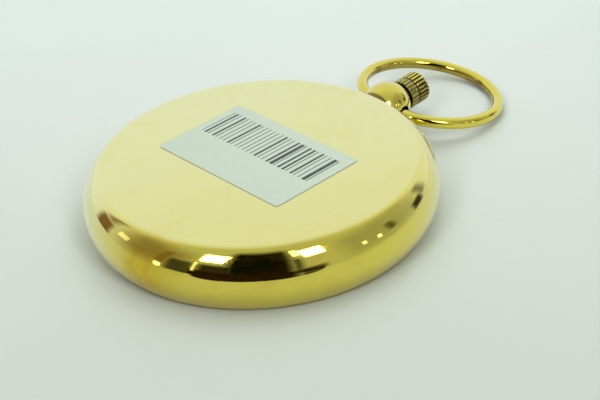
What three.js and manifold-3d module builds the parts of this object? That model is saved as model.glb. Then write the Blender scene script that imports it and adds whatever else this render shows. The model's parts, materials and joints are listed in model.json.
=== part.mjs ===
// A brass pocket compass with an open face, lying on its glass with its back up.
// Millimetres, +Z up out of the back, +Y out along the pendant. The origin is the centre of the
// glass's outer face, on the axis that the needle turns about.

import * as THREE from 'three';
import { mergeVertices } from 'three/addons/utils/BufferGeometryUtils.js';
import Module from 'manifold-3d';

const wasm = await Module();
wasm.setup();

// Round pieces: flat sides in a turn
const RING_SIDES = 64;
const BALL_SIDES = 32;
const SHAFT_SIDES = 20;
const SCREW_SIDES = 12;
const CROWN_SIDES = 48;
const COIL_SIDES = 5;
const COIL_STEPS = 8;
const ARC_STEPS = 4;
const BALL_STEPS = 16;

// The stack along the needle axis, from the floor up to the back
const RIM_PROUD = 0.3;
const CRYSTAL_THICKNESS = 1.8;
const CHAMBER_DEPTH = 3.2;
const DIAL_THICKNESS = 0.7;
const UNDER_DIAL_DEPTH = 7.0;
const BASE_THICKNESS = 1.0;
const WALL = 0.9;

// Case: widest ring, how far the rim and the flat of the back lie inside it, and its corner
const CASE_RADIUS = 41.0;
const BULGE_HEIGHT = 6.6;
const RIM_TUCK = 2.5;
const BACK_INSET = 5.43;
const BACK_CORNER_RADIUS = 3.0;
const MOUTH_DEPTH = 2.4;
const MOUTH_SLOPE = 1.4;

// Bezel, glass and dial
const BEZEL_FLANGE = 0.7;
const BEZEL_SEAM = 0.15;
const BEZEL_EDGE_RADIUS = 0.45;
const SKIRT_WALL = 1.35;
const THREAD_GAP = 0.25;
const BEVEL_WIDTH = 2.75;
const BEVEL_DEPTH = 1.05;
const BEVEL_GAP = 0.4;
const LIP_GAP = 0.3;
const RING_GAP = 0.3;
const CRYSTAL_RING_WIDTH = 1.25;
const CRYSTAL_RING_THICKNESS = 0.9;
const DEGREE_RING_WIDTH = 5.5;
const DEGREE_RING_THICKNESS = 0.6;
const DIAL_EDGE_GAP = 0.6;

// Base plate, pillars and screws
const BASE_EDGE_GAP = 2.6;
const PILLAR_COUNT = 3;
const PILLAR_INSET = 4.2;
const PILLAR_RADIUS = 1.6;
const RIVET_RADIUS = 0.9;
const RIVET_SHORT = 0.1;
const SCREW_RADIUS = 0.55;
const SCREW_HOLE_GAP = 0.15;
const SCREW_HEAD_RADIUS = 1.15;
const SCREW_HEAD_HEIGHT = 0.7;
const DIAL_SCREW_LENGTH = 3.6;
const BASE_SCREW_BITE = 0.8;

// Needle and its pivot
const NEEDLE_THICKNESS = 0.3;
const NEEDLE_HALF_WIDTH = 3.0;
const NEEDLE_TIP_HALF_WIDTH = 0.25;
const NEEDLE_TIP_GAP = 1.7;
const NEEDLE_RISE = 1.4;
const CAP_RADIUS = 2.0;
const CAP_HEIGHT = 0.85;
const CAP_SPIGOT_RADIUS = 1.2;
const CAP_SPIGOT_LENGTH = 0.3;
const CAP_CROWN_THICKNESS = 0.5;
const CAP_GAP = 0.1;
const JEWEL_RADIUS = 0.7;
const JEWEL_HEIGHT = 0.65;
const JEWEL_CUP_RADIUS = 0.45;
const JEWEL_CUP_DEPTH = 0.5;
const POINT_GAP = 0.1;
const POINT_RADIUS = 0.4;
const POINT_TAPER = 1.2;
const POINT_BITE = 1.2;
const POST_RADIUS = 1.2;
const POST_CHAMFER = 0.35;
const POST_FOOT_RADIUS = 2.6;
const POST_FOOT_HEIGHT = 0.7;
const WEIGHT_PLACE = 12.0;
const WEIGHT_LENGTH = 1.6;
const WEIGHT_WALL = 0.3;
const WEIGHT_GAP = 0.1;

// Needle lift: crown travel, how far the needle rises, and the lever between them
const CROWN_TRAVEL = 0.6;
const NEEDLE_LIFT = 0.5;
const COLLAR_GAP = 0.25;
const COLLAR_WALL = 0.65;
const COLLAR_FLANGE_RADIUS = 3.4;
const COLLAR_FLANGE_THICKNESS = 0.8;
const COLLAR_NEEDLE_GAP = 0.15;
const COLLAR_DIAL_GAP = 0.4;
const LEVER_THICKNESS = 0.8;
const LEVER_HALF_WIDTH = 1.5;
const LEVER_PIVOT_INSET = 17.0;
const LEVER_TAIL_INSET = 3.2;
const LEVER_COLLAR_GAP = 0.3;
const FORK_HALF_LENGTH = 3.2;
const FORK_SLOT_GAP = 0.55;
const FORK_SHOULDER = 3.5;
const BARREL_RADIUS = 1.15;
const BARREL_HALF_LENGTH = 2.4;
const PIN_RADIUS = 0.5;
const PIN_GAP = 0.1;
const PIN_PROUD = 0.4;
const BRACKET_GAP = 0.3;
const BRACKET_WALL = 0.8;
const BRACKET_LENGTH = 8.0;
const BRACKET_RISE = 1.2;
const BRACKET_SCREW_SPACING = 4.8;
const LEAF_THICKNESS = 0.25;
const LEAF_HALF_WIDTH = 1.5;
const LEAF_FOOT_GAP = 1.2;
const LEAF_FOOT_LENGTH = 3.6;
const LEAF_GAP = 0.45;
const LEAF_END_LENGTH = 0.8;
const LEAF_REACH = 4.0;

// Pendant, its bush, the stem and the crown, measured out from the widest ring of the case
const BALL_OFFSET = 3.7;
const BALL_RADIUS = 5.85;
const BALL_HALF_LENGTH = 6.6;
const SADDLE_GAP = 0.25;
const LIP_RADIUS = 3.75;
const LIP_LENGTH = 0.1;
const LIP_EDGE = 0.2;
const TAIL_RADIUS = 3.0;
const TAIL_GAP = 0.2;
const TAIL_OFFSET = 1.6;
const BORE_RADIUS = 2.35;
const BUSH_FIT_GAP = 0.15;
const BUSH_OFFSET = 4.2;
const STEM_RADIUS = 1.1;
const STEM_GAP = 0.2;
const STEM_DIAL_GAP = 0.5;
const CONE_TIP_RADIUS = 0.3;
const CONE_CONTACT_RADIUS = 0.5;
const CONE_GAP = 0.12;
const CLIP_RADIUS = 2.2;
const CLIP_THICKNESS = 0.5;
const CLIP_GAP = 0.05;
const CLIP_PLAY = 0.25;
const GROOVE_DEPTH = 0.3;
const CROWN_CLEAR = 0.1;
const CROWN_RADIUS = 3.9;
const CROWN_LENGTH = 6.9;
const CROWN_EDGE_RADIUS = 0.7;
const CROWN_INNER_BAND = 2.73;
const CROWN_GROOVE_WIDTH = 0.35;
const CROWN_GROOVE_DEPTH = 0.4;
const FLUTE_COUNT = 24;
const FLUTE_CREST_SHARE = 0.4;
const FLUTE_ROOT_SHARE = 0.3;
const FLUTE_DEPTH = 0.32;
const FINE_FLUTE_DEPTH = 0.14;
const RECESS_RADIUS = 2.7;
const RECESS_DEPTH = 2.0;
const STEM_SEAT_DEPTH = 3.0;
const STEM_SEAT_GAP = 0.1;
const WASHER_RADIUS = 2.4;
const WASHER_THICKNESS = 0.6;
const SPRING_WIRE = 0.4;
const SPRING_RADIUS = 1.78;
const SPRING_TURNS = 6;
const SPRING_END_GAP = 0.05;

// Bow: a wire circle whose two ends turn in to the pendant's cross holes, which are drilled a few degrees
// off square. It has sunk to the floor and slid to one side, because the holes are wider and deeper than
// its ends, and the ends lie on the side of the holes that is nearer to the case.
const BOW_WIRE = 2.9;
const BOW_RADIUS = 17.32;
const BOW_MOUTH_GAP = 1.15;
const BOW_HINGE_OFFSET = 3.9;
const BOW_LEAN = THREE.MathUtils.degToRad(5.34);
const BOW_YAW = THREE.MathUtils.degToRad(3.9);
const BOW_SLIDE = 0.6;
const BOW_FLOOR_GAP = 0.1;
const BOW_PIN_INSET = 2.0;
const BOW_PIN_LENGTH = 2.2;
const BOW_BEND = THREE.MathUtils.degToRad(12);
const BOW_HOLE_GAP = 0.55;
const BOW_HOLE_SHIFT = 0.38;
const BOW_HOLE_END_GAP = 0.4;
const BOW_STEPS = 64;
const BOW_SIDES = 10;

// Sticker on the back
const LABEL_LENGTH = 40.0;
const LABEL_WIDTH = 25.0;
const LABEL_THICKNESS = 0.15;
const LABEL_CORNER = 0.8;
const LABEL_PLACE = [-0.9, 0.4];
const LABEL_TURN = THREE.MathUtils.degToRad(-3.6);

// Heights that several pieces share
const FLOOR_Z = -RIM_PROUD;
const DIAL_FACE_Z = CRYSTAL_THICKNESS + CHAMBER_DEPTH;
const DIAL_BACK_Z = DIAL_FACE_Z + DIAL_THICKNESS;
const BASE_FACE_Z = DIAL_BACK_Z + UNDER_DIAL_DEPTH;
const CASE_INSIDE_Z = BASE_FACE_Z + BASE_THICKNESS;
const BACK_Z = CASE_INSIDE_Z + WALL;
const STEM_Z = DIAL_BACK_Z + STEM_DIAL_GAP + STEM_RADIUS;
const LEVER_Z = STEM_Z + CONE_CONTACT_RADIUS + CONE_GAP;
const PIN_Z = LEVER_Z + LEVER_THICKNESS / 2;
const COLLAR_BACK_Z = LEVER_Z - LEVER_COLLAR_GAP;
const NEEDLE_BACK_Z = DIAL_FACE_Z - NEEDLE_RISE;
const NEEDLE_FACE_Z = NEEDLE_BACK_Z - NEEDLE_THICKNESS;
const JEWEL_FACE_Z = NEEDLE_FACE_Z - CAP_HEIGHT + CAP_CROWN_THICKNESS;
const POINT_TIP_Z = JEWEL_FACE_Z + JEWEL_HEIGHT - JEWEL_CUP_DEPTH + POINT_GAP;

// Radii that several pieces share
const RIM_RADIUS = CASE_RADIUS - RIM_TUCK;
const MOUTH_RADIUS = RIM_RADIUS - WALL;
const SKIRT_RADIUS = MOUTH_RADIUS - THREAD_GAP;
const SKIRT_BORE = SKIRT_RADIUS - SKIRT_WALL;
const CRYSTAL_RADIUS = SKIRT_BORE - RING_GAP;
const CRYSTAL_FLAT_RADIUS = CRYSTAL_RADIUS - BEVEL_WIDTH;
const DIAL_RADIUS = MOUTH_RADIUS - DIAL_EDGE_GAP;
const DEGREE_BORE = CRYSTAL_RADIUS - DEGREE_RING_WIDTH;
const PILLAR_CIRCLE = DEGREE_BORE - PILLAR_INSET;
const COLLAR_BORE = POST_RADIUS + COLLAR_GAP;
const COLLAR_RADIUS = COLLAR_BORE + COLLAR_WALL;
const SCREW_HOLE_RADIUS = SCREW_RADIUS + SCREW_HOLE_GAP;

// Places along the pendant
const BALL_Y = CASE_RADIUS + BALL_OFFSET;
const LIP_ANGLE = Math.asin(LIP_RADIUS / BALL_RADIUS);
const LIP_Y = BALL_Y + BALL_HALF_LENGTH * Math.cos(LIP_ANGLE) + LIP_LENGTH;
const TAIL_Y = CASE_RADIUS - TAIL_OFFSET;
const BUSH_Y = CASE_RADIUS + BUSH_OFFSET;
const HINGE_Y = CASE_RADIUS + BOW_HINGE_OFFSET;
const CROWN_Y = LIP_Y + CROWN_TRAVEL + CROWN_CLEAR;
const WASHER_Y = CROWN_Y + RECESS_DEPTH - WASHER_THICKNESS;
const CLIP_Y = TAIL_Y - CLIP_PLAY - CLIP_THICKNESS;
const LEVER_TAIL_Y = DIAL_RADIUS - LEVER_TAIL_INSET;
const LEVER_PIVOT_Y = DIAL_RADIUS - LEVER_PIVOT_INSET;
const LEAF_FOOT_Y = LEVER_PIVOT_Y + BRACKET_LENGTH / 2 + LEAF_FOOT_GAP;
const LEAF_SCREW_Y = LEAF_FOOT_Y + LEAF_FOOT_LENGTH / 2;

// The lever turns the crown's travel into the needle's lift, which sets the slope of the stem's cone
const LEVER_ANGLE = NEEDLE_LIFT / LEVER_PIVOT_Y;
const CONE_SLOPE = ((LEVER_TAIL_Y - LEVER_PIVOT_Y) * LEVER_ANGLE) / CROWN_TRAVEL;
const CONE_TIP_Y = LEVER_TAIL_Y - (CONE_CONTACT_RADIUS - CONE_TIP_RADIUS) / CONE_SLOPE;

const brass = { color: 0xd8b43a, roughness: 0.16, metalness: 1 };
const darkBrass = { color: 0xb08f35, roughness: 0.3, metalness: 1 };
const steel = { color: 0x9a9da2, roughness: 0.35, metalness: 1 };
const glass = { color: 0xe8f2ee, roughness: 0.04, metalness: 0, transparent: true, opacity: 0.35 };
const enamel = { color: 0xf1efe6, roughness: 0.45, metalness: 0 };
const paper = { color: 0xdbe3e0, roughness: 0.8, metalness: 0 };
const blued = { color: 0x27406b, roughness: 0.3, metalness: 1 };
const jewel = { color: 0xa83a2c, roughness: 0.1, metalness: 0 };

const compass = new THREE.Group();

function add(name, geometry, finish) {
  const mesh = new THREE.Mesh(geometry, new THREE.MeshStandardMaterial(finish));
  mesh.name = name;
  compass.add(mesh);
}

const point = (r, z) => new THREE.Vector2(r, z);

// Points of an arc about (r, z), both ends included
function arc(r, z, radius, from, to) {
  const points = [];
  for (let i = 0; i <= ARC_STEPS; i += 1) {
    const angle = from + ((to - from) * i) / ARC_STEPS;
    points.push(point(r + radius * Math.cos(angle), z + radius * Math.sin(angle)));
  }
  return points;
}

// A profile of (radius, height) points turned about +Z. It runs with the solid on its left, and it
// starts and ends on the axis or is closed here.
function turned(profile, sides) {
  const onAxis = profile[0].x === 0 && profile[profile.length - 1].x === 0;
  const outline = onAxis ? profile : [...profile, profile[0]];
  return new THREE.LatheGeometry(outline, sides).rotateX(Math.PI / 2);
}

function ring(bore, radius, low, high, sides) {
  return turned([point(bore, low), point(radius, low), point(radius, high), point(bore, high)], sides);
}

function rod(radius, low, high, sides) {
  return turned([point(0, low), point(radius, low), point(radius, high), point(0, high)], sides);
}

// Turns a piece made along +Z to lie along +Y on the stem's axis, or along +X
const X = new THREE.Vector3(1, 0, 0);
const Y = new THREE.Vector3(0, 1, 0);
const Z = new THREE.Vector3(0, 0, 1);

function alongStem(geometry) {
  return geometry.applyMatrix4(new THREE.Matrix4().makeBasis(Z, X, Y)).translate(0, 0, STEM_Z);
}

function alongX(geometry) {
  return geometry.applyMatrix4(new THREE.Matrix4().makeBasis(Y, Z, X));
}

function plate(shape, low, high) {
  const options = { depth: high - low, bevelEnabled: false, curveSegments: RING_SIDES / 2 };
  return new THREE.ExtrudeGeometry(shape, options).translate(0, 0, low);
}

function circle(Kind, radius, x = 0, y = 0) {
  const path = new Kind();
  path.absarc(x, y, radius, 0, 2 * Math.PI, false);
  return path;
}

function polygon(points) {
  return new THREE.Shape(points.map(([x, y]) => point(x, y)));
}

// Round holes in a plate have fewer points than its edge
function drill(shape, radius, x, y) {
  const hole = [];
  for (let i = 0; i < SHAFT_SIDES; i += 1) {
    const angle = (2 * Math.PI * i) / SHAFT_SIDES;
    hole.push(point(x + radius * Math.cos(angle), y + radius * Math.sin(angle)));
  }
  shape.holes.push(new THREE.Path(hole));
}

// Boolean cuts and joins
function solid(geometry) {
  const bare = geometry.clone();
  bare.deleteAttribute('normal');
  bare.deleteAttribute('uv');
  const merged = mergeVertices(bare);
  const corners = merged.index.array;
  const triangles = [];
  for (let i = 0; i < corners.length; i += 3) {
    const [a, b, c] = corners.slice(i, i + 3);
    if (a !== b && b !== c && c !== a) triangles.push(a, b, c);
  }
  return new wasm.Manifold(new wasm.Mesh({
    numProp: 3,
    vertProperties: merged.attributes.position.array,
    triVerts: new Uint32Array(triangles),
  }));
}

function shell(body) {
  const mesh = body.getMesh();
  const geometry = new THREE.BufferGeometry();
  geometry.setAttribute('position', new THREE.BufferAttribute(mesh.vertProperties, 3));
  geometry.setIndex(new THREE.BufferAttribute(mesh.triVerts, 1));
  geometry.computeVertexNormals();
  return geometry;
}

// Case outline from a start height up to the axis, grown outwards by an offset. The lower arc meets
// the rim, and the upper one runs tangent into the corner of the back.
const BULGE_Z = FLOOR_Z + BULGE_HEIGHT;
const LOWER_ARC = (RIM_TUCK ** 2 + BULGE_HEIGHT ** 2) / (2 * RIM_TUCK);
const CORNER_Z = BACK_Z - BACK_CORNER_RADIUS;
const CORNER_R = CASE_RADIUS - BACK_INSET;
const UPPER_ARC = (BACK_INSET ** 2 + (CORNER_Z - BULGE_Z) ** 2 - BACK_CORNER_RADIUS ** 2)
  / (2 * (BACK_INSET - BACK_CORNER_RADIUS));

function wallRadius(z, offset) {
  return CASE_RADIUS - LOWER_ARC + Math.sqrt((LOWER_ARC + offset) ** 2 - (z - BULGE_Z) ** 2);
}

function caseOutline(start, offset) {
  const lowerCentre = CASE_RADIUS - LOWER_ARC;
  const upperCentre = CASE_RADIUS - UPPER_ARC;
  const from = Math.asin((start - BULGE_Z) / (LOWER_ARC + offset));
  const meet = Math.atan2(CORNER_Z - BULGE_Z, CORNER_R - upperCentre);
  return [
    ...arc(lowerCentre, BULGE_Z, LOWER_ARC + offset, from, 0),
    ...arc(upperCentre, BULGE_Z, UPPER_ARC + offset, 0, meet).slice(1),
    ...arc(CORNER_R, CORNER_Z, BACK_CORNER_RADIUS + offset, meet, Math.PI / 2).slice(1),
    point(0, BACK_Z + offset),
  ];
}

function backCase() {
  const mouth = FLOOR_Z + BEZEL_FLANGE + BEZEL_SEAM;
  const land = mouth + MOUTH_DEPTH;
  const inside = caseOutline(land + MOUTH_SLOPE, -WALL).reverse();
  const profile = [
    ...inside,
    point(MOUTH_RADIUS, land),
    point(MOUTH_RADIUS, mouth),
    ...caseOutline(mouth, 0),
  ];
  const hole = alongStem(rod(TAIL_RADIUS + TAIL_GAP, TAIL_Y - WALL, BALL_Y, BALL_SIDES));
  return shell(solid(turned(profile, RING_SIDES)).subtract(solid(hole)));
}

// The rim's edge rounds into the wall, and a cone inside follows the bevel of the glass
function bezel() {
  const slope = BEVEL_DEPTH / BEVEL_WIDTH;
  const seat = (r) => slope * (r - CRYSTAL_FLAT_RADIUS - BEVEL_GAP);
  const lip = CRYSTAL_FLAT_RADIUS + LIP_GAP;
  const top = FLOOR_Z + BEZEL_FLANGE;
  const edge = wallRadius(FLOOR_Z + BEZEL_EDGE_RADIUS, 0);
  return turned([
    point(lip, FLOOR_Z),
    ...arc(edge - BEZEL_EDGE_RADIUS, FLOOR_Z + BEZEL_EDGE_RADIUS, BEZEL_EDGE_RADIUS, -Math.PI / 2, 0),
    point(wallRadius(top, 0), top),
    point(SKIRT_RADIUS, top),
    point(SKIRT_RADIUS, DIAL_FACE_Z),
    point(SKIRT_BORE, DIAL_FACE_Z),
    point(SKIRT_BORE, seat(SKIRT_BORE)),
    point(lip, seat(lip)),
  ], RING_SIDES);
}

function crystal() {
  return turned([
    point(0, 0),
    point(CRYSTAL_FLAT_RADIUS, 0),
    point(CRYSTAL_RADIUS, BEVEL_DEPTH),
    point(CRYSTAL_RADIUS, CRYSTAL_THICKNESS),
    point(0, CRYSTAL_THICKNESS),
  ], RING_SIDES);
}

function crystalRing() {
  const radius = SKIRT_BORE - RING_GAP / 2;
  const top = CRYSTAL_THICKNESS + CRYSTAL_RING_THICKNESS;
  return ring(radius - CRYSTAL_RING_WIDTH, radius, CRYSTAL_THICKNESS, top, RING_SIDES);
}

function degreeRing() {
  return ring(DEGREE_BORE, CRYSTAL_RADIUS, DIAL_FACE_Z - DEGREE_RING_THICKNESS, DIAL_FACE_Z, RING_SIDES);
}

// Pillars stand on a circle, none of them under the lever
const pillarPlaces = [];
for (let i = 0; i < PILLAR_COUNT; i += 1) {
  const angle = -Math.PI / 2 + (2 * Math.PI * i) / PILLAR_COUNT;
  pillarPlaces.push([PILLAR_CIRCLE * Math.cos(angle), PILLAR_CIRCLE * Math.sin(angle)]);
}
const bracketScrewPlaces = [-0.5, 0.5].map((side) => LEVER_PIVOT_Y + side * BRACKET_SCREW_SPACING);

function dialPlate() {
  const shape = circle(THREE.Shape, DIAL_RADIUS);
  drill(shape, COLLAR_RADIUS + COLLAR_DIAL_GAP, 0, 0);
  pillarPlaces.forEach(([x, y]) => drill(shape, SCREW_HOLE_RADIUS, x, y));
  return plate(shape, DIAL_FACE_Z, DIAL_BACK_Z);
}

function basePlate() {
  const shape = circle(THREE.Shape, CORNER_R - BASE_EDGE_GAP);
  drill(shape, RIVET_RADIUS + SCREW_HOLE_GAP, 0, 0);
  pillarPlaces.forEach(([x, y]) => drill(shape, RIVET_RADIUS + SCREW_HOLE_GAP, x, y));
  [...bracketScrewPlaces, LEAF_SCREW_Y].forEach((y) => drill(shape, SCREW_HOLE_RADIUS, 0, y));
  return plate(shape, BASE_FACE_Z, CASE_INSIDE_Z);
}

function dialPillar([x, y]) {
  const threadEnd = DIAL_BACK_Z + DIAL_SCREW_LENGTH;
  return turned([
    point(0, threadEnd),
    point(SCREW_HOLE_RADIUS, threadEnd),
    point(SCREW_HOLE_RADIUS, DIAL_BACK_Z),
    point(PILLAR_RADIUS, DIAL_BACK_Z),
    point(PILLAR_RADIUS, BASE_FACE_Z),
    point(RIVET_RADIUS, BASE_FACE_Z),
    point(RIVET_RADIUS, CASE_INSIDE_Z - RIVET_SHORT),
    point(0, CASE_INSIDE_Z - RIVET_SHORT),
  ], SHAFT_SIDES).translate(x, y, 0);
}

// A cheese-head screw along +Z: its head lies below the face that it holds
function screw(face, end, x, y) {
  return turned([
    point(0, face - SCREW_HEAD_HEIGHT),
    point(SCREW_HEAD_RADIUS, face - SCREW_HEAD_HEIGHT),
    point(SCREW_HEAD_RADIUS, face),
    point(SCREW_RADIUS, face),
    point(SCREW_RADIUS, end),
    point(0, end),
  ], SCREW_SIDES).translate(x, y, 0);
}

function pivotPost() {
  const top = DIAL_FACE_Z;
  const rivetEnd = CASE_INSIDE_Z - RIVET_SHORT;
  const foot = BASE_FACE_Z - POST_FOOT_HEIGHT;
  const hole = POINT_RADIUS + POINT_GAP;
  return turned([
    point(0, top + POINT_BITE),
    point(hole, top + POINT_BITE),
    point(hole, top),
    point(POST_RADIUS - POST_CHAMFER, top),
    point(POST_RADIUS, top + POST_CHAMFER),
    point(POST_RADIUS, foot),
    point(POST_FOOT_RADIUS, foot),
    point(POST_FOOT_RADIUS, BASE_FACE_Z),
    point(RIVET_RADIUS, BASE_FACE_Z),
    point(RIVET_RADIUS, rivetEnd),
    point(0, rivetEnd),
  ], SHAFT_SIDES);
}

function pivotPoint() {
  const end = DIAL_FACE_Z + POINT_BITE;
  return turned([
    point(0, POINT_TIP_Z),
    point(POINT_RADIUS, POINT_TIP_Z + POINT_TAPER),
    point(POINT_RADIUS, end),
    point(0, end),
  ], SHAFT_SIDES);
}

// The needle is a long rhombus, its north half towards +Y
const NEEDLE_HALF_LENGTH = DEGREE_BORE - NEEDLE_TIP_GAP;

function needleHalfWidth(y) {
  const along = Math.abs(y) / NEEDLE_HALF_LENGTH;
  return NEEDLE_HALF_WIDTH + (NEEDLE_TIP_HALF_WIDTH - NEEDLE_HALF_WIDTH) * along;
}

function needle() {
  const shape = polygon([
    [-NEEDLE_TIP_HALF_WIDTH, -NEEDLE_HALF_LENGTH],
    [NEEDLE_TIP_HALF_WIDTH, -NEEDLE_HALF_LENGTH],
    [NEEDLE_HALF_WIDTH, 0],
    [NEEDLE_TIP_HALF_WIDTH, NEEDLE_HALF_LENGTH],
    [-NEEDLE_TIP_HALF_WIDTH, NEEDLE_HALF_LENGTH],
    [-NEEDLE_HALF_WIDTH, 0],
  ]);
  drill(shape, CAP_SPIGOT_RADIUS + CAP_GAP, 0, 0);
  return plate(shape, NEEDLE_FACE_Z, NEEDLE_BACK_Z);
}

// A domed cap on the needle's face, with a spigot through the needle and a blind hole for the jewel
function needleCap() {
  const dome = (CAP_RADIUS ** 2 + CAP_HEIGHT ** 2) / (2 * CAP_HEIGHT);
  const rim = Math.asin(CAP_RADIUS / dome);
  const front = arc(0, NEEDLE_FACE_Z - CAP_HEIGHT + dome, dome, -Math.PI / 2, rim - Math.PI / 2);
  const back = NEEDLE_BACK_Z + CAP_SPIGOT_LENGTH;
  return turned([
    point(0, NEEDLE_FACE_Z - CAP_HEIGHT),
    ...front.slice(1, -1),
    point(CAP_RADIUS, NEEDLE_FACE_Z),
    point(CAP_SPIGOT_RADIUS, NEEDLE_FACE_Z),
    point(CAP_SPIGOT_RADIUS, back),
    point(JEWEL_RADIUS + CAP_GAP, back),
    point(JEWEL_RADIUS + CAP_GAP, JEWEL_FACE_Z),
    point(0, JEWEL_FACE_Z),
  ], SHAFT_SIDES);
}

function needleJewel() {
  const back = JEWEL_FACE_Z + JEWEL_HEIGHT;
  return turned([
    point(0, JEWEL_FACE_Z),
    point(JEWEL_RADIUS, JEWEL_FACE_Z),
    point(JEWEL_RADIUS, back),
    point(JEWEL_CUP_RADIUS, back),
    point(0, back - JEWEL_CUP_DEPTH),
  ], SHAFT_SIDES);
}

// A flat sleeve round the south half of the needle
function balanceWeight() {
  const width = needleHalfWidth(WEIGHT_PLACE - WEIGHT_LENGTH / 2) + WEIGHT_GAP;
  const low = NEEDLE_FACE_Z - WEIGHT_GAP;
  const high = NEEDLE_BACK_Z + WEIGHT_GAP;
  const outer = width + WEIGHT_WALL;
  const shape = polygon([
    [-outer, low - WEIGHT_WALL],
    [outer, low - WEIGHT_WALL],
    [outer, high + WEIGHT_WALL],
    [-outer, high + WEIGHT_WALL],
  ]);
  const slot = polygon([[-width, low], [width, low], [width, high], [-width, high]]);
  shape.holes.push(slot);
  const options = { depth: WEIGHT_LENGTH, bevelEnabled: false };
  const sleeve = new THREE.ExtrudeGeometry(shape, options);
  return sleeve.rotateX(Math.PI / 2).translate(0, WEIGHT_LENGTH / 2 - WEIGHT_PLACE, 0);
}

function liftingCollar() {
  const front = NEEDLE_BACK_Z + COLLAR_NEEDLE_GAP;
  const flange = COLLAR_BACK_Z - COLLAR_FLANGE_THICKNESS;
  return turned([
    point(COLLAR_BORE, front),
    point(COLLAR_RADIUS, front),
    point(COLLAR_RADIUS, flange),
    point(COLLAR_FLANGE_RADIUS, flange),
    point(COLLAR_FLANGE_RADIUS, COLLAR_BACK_Z),
    point(COLLAR_BORE, COLLAR_BACK_Z),
  ], SHAFT_SIDES);
}

function pinHole(radius) {
  const reach = BARREL_HALF_LENGTH + BRACKET_GAP + BRACKET_WALL + PIN_PROUD;
  return alongX(rod(radius, -reach, reach, SCREW_SIDES)).translate(0, LEVER_PIVOT_Y, PIN_Z);
}

// A bar with a forked end that straddles the pivot post behind the collar, and a barrel for its pin
function lifterLever() {
  const slot = POST_RADIUS + FORK_SLOT_GAP;
  const shape = polygon([
    [-COLLAR_FLANGE_RADIUS, -FORK_HALF_LENGTH],
    [-slot, -FORK_HALF_LENGTH],
    [-slot, 0],
    [-slot / 2, slot * Math.sin(Math.PI / 3)],
    [slot / 2, slot * Math.sin(Math.PI / 3)],
    [slot, 0],
    [slot, -FORK_HALF_LENGTH],
    [COLLAR_FLANGE_RADIUS, -FORK_HALF_LENGTH],
    [COLLAR_FLANGE_RADIUS, FORK_HALF_LENGTH],
    [LEVER_HALF_WIDTH, FORK_HALF_LENGTH + FORK_SHOULDER],
    [LEVER_HALF_WIDTH, LEVER_TAIL_Y],
    [-LEVER_HALF_WIDTH, LEVER_TAIL_Y],
    [-LEVER_HALF_WIDTH, FORK_HALF_LENGTH + FORK_SHOULDER],
    [-COLLAR_FLANGE_RADIUS, FORK_HALF_LENGTH],
  ]);
  const bar = solid(plate(shape, LEVER_Z, LEVER_Z + LEVER_THICKNESS));
  const barrel = alongX(rod(BARREL_RADIUS, -BARREL_HALF_LENGTH, BARREL_HALF_LENGTH, SCREW_SIDES));
  const eye = solid(barrel.translate(0, LEVER_PIVOT_Y, PIN_Z));
  return shell(bar.add(eye).subtract(solid(pinHole(PIN_RADIUS + PIN_GAP))));
}

// A channel on the base plate whose two cheeks carry the lever's pin
function leverBracket() {
  const inner = BARREL_HALF_LENGTH + BRACKET_GAP;
  const outer = inner + BRACKET_WALL;
  const floor = BASE_FACE_Z - BRACKET_WALL;
  const top = PIN_Z - BRACKET_RISE;
  const channel = polygon([
    [-outer, top],
    [-inner, top],
    [-inner, floor],
    [inner, floor],
    [inner, top],
    [outer, top],
    [outer, BASE_FACE_Z],
    [-outer, BASE_FACE_Z],
  ]);
  const options = { depth: BRACKET_LENGTH, bevelEnabled: false };
  const length = new THREE.ExtrudeGeometry(channel, options).rotateX(Math.PI / 2);
  let body = solid(length.translate(0, LEVER_PIVOT_Y + BRACKET_LENGTH / 2, 0));
  body = body.subtract(solid(pinHole(PIN_RADIUS + PIN_GAP)));
  for (const y of bracketScrewPlaces) {
    const hole = rod(SCREW_HOLE_RADIUS, floor - BRACKET_WALL, BASE_FACE_Z + BRACKET_WALL, SCREW_SIDES);
    body = body.subtract(solid(hole.translate(0, y, 0)));
  }
  return shell(body);
}

// A bent strip: a foot on the base plate, a slanting blade and a flat end behind the lever's tail
function leverSpring() {
  const half = LEAF_THICKNESS / 2;
  const footZ = BASE_FACE_Z - half;
  const endZ = LEVER_Z + LEVER_THICKNESS + LEAF_GAP + half;
  const bendY = LEAF_FOOT_Y + LEAF_FOOT_LENGTH;
  const line = [
    point(LEAF_FOOT_Y, footZ),
    point(bendY, footZ),
    point(bendY + LEAF_REACH - LEAF_END_LENGTH, endZ),
    point(bendY + LEAF_REACH, endZ),
  ];
  const lower = [];
  const upper = [];
  line.forEach((at, i) => {
    const before = at.clone().sub(line[Math.max(i - 1, 0)]).normalize();
    const after = line[Math.min(i + 1, line.length - 1)].clone().sub(at).normalize();
    const run = before.add(after).normalize();
    const side = point(-run.y, run.x).multiplyScalar(half);
    lower.push(at.clone().sub(side));
    upper.unshift(at.clone().add(side));
  });
  const options = { depth: 2 * LEAF_HALF_WIDTH, bevelEnabled: false };
  const strip = alongX(new THREE.ExtrudeGeometry(new THREE.Shape([...lower, ...upper]), options));
  const hole = rod(SCREW_HOLE_RADIUS, BASE_FACE_Z - BRACKET_WALL, BASE_FACE_Z + BRACKET_WALL, SCREW_SIDES);
  const blade = solid(strip.translate(-LEAF_HALF_WIDTH, 0, 0));
  return shell(blade.subtract(solid(hole.translate(0, LEAF_SCREW_Y, 0))));
}

// A long ball with a chamfered lip at its mouth, hollowed to sit on the case, with a tail through the wall
const HOLE_END_X = BALL_RADIUS - BOW_PIN_INSET - BOW_SLIDE - BOW_HOLE_END_GAP;

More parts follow.
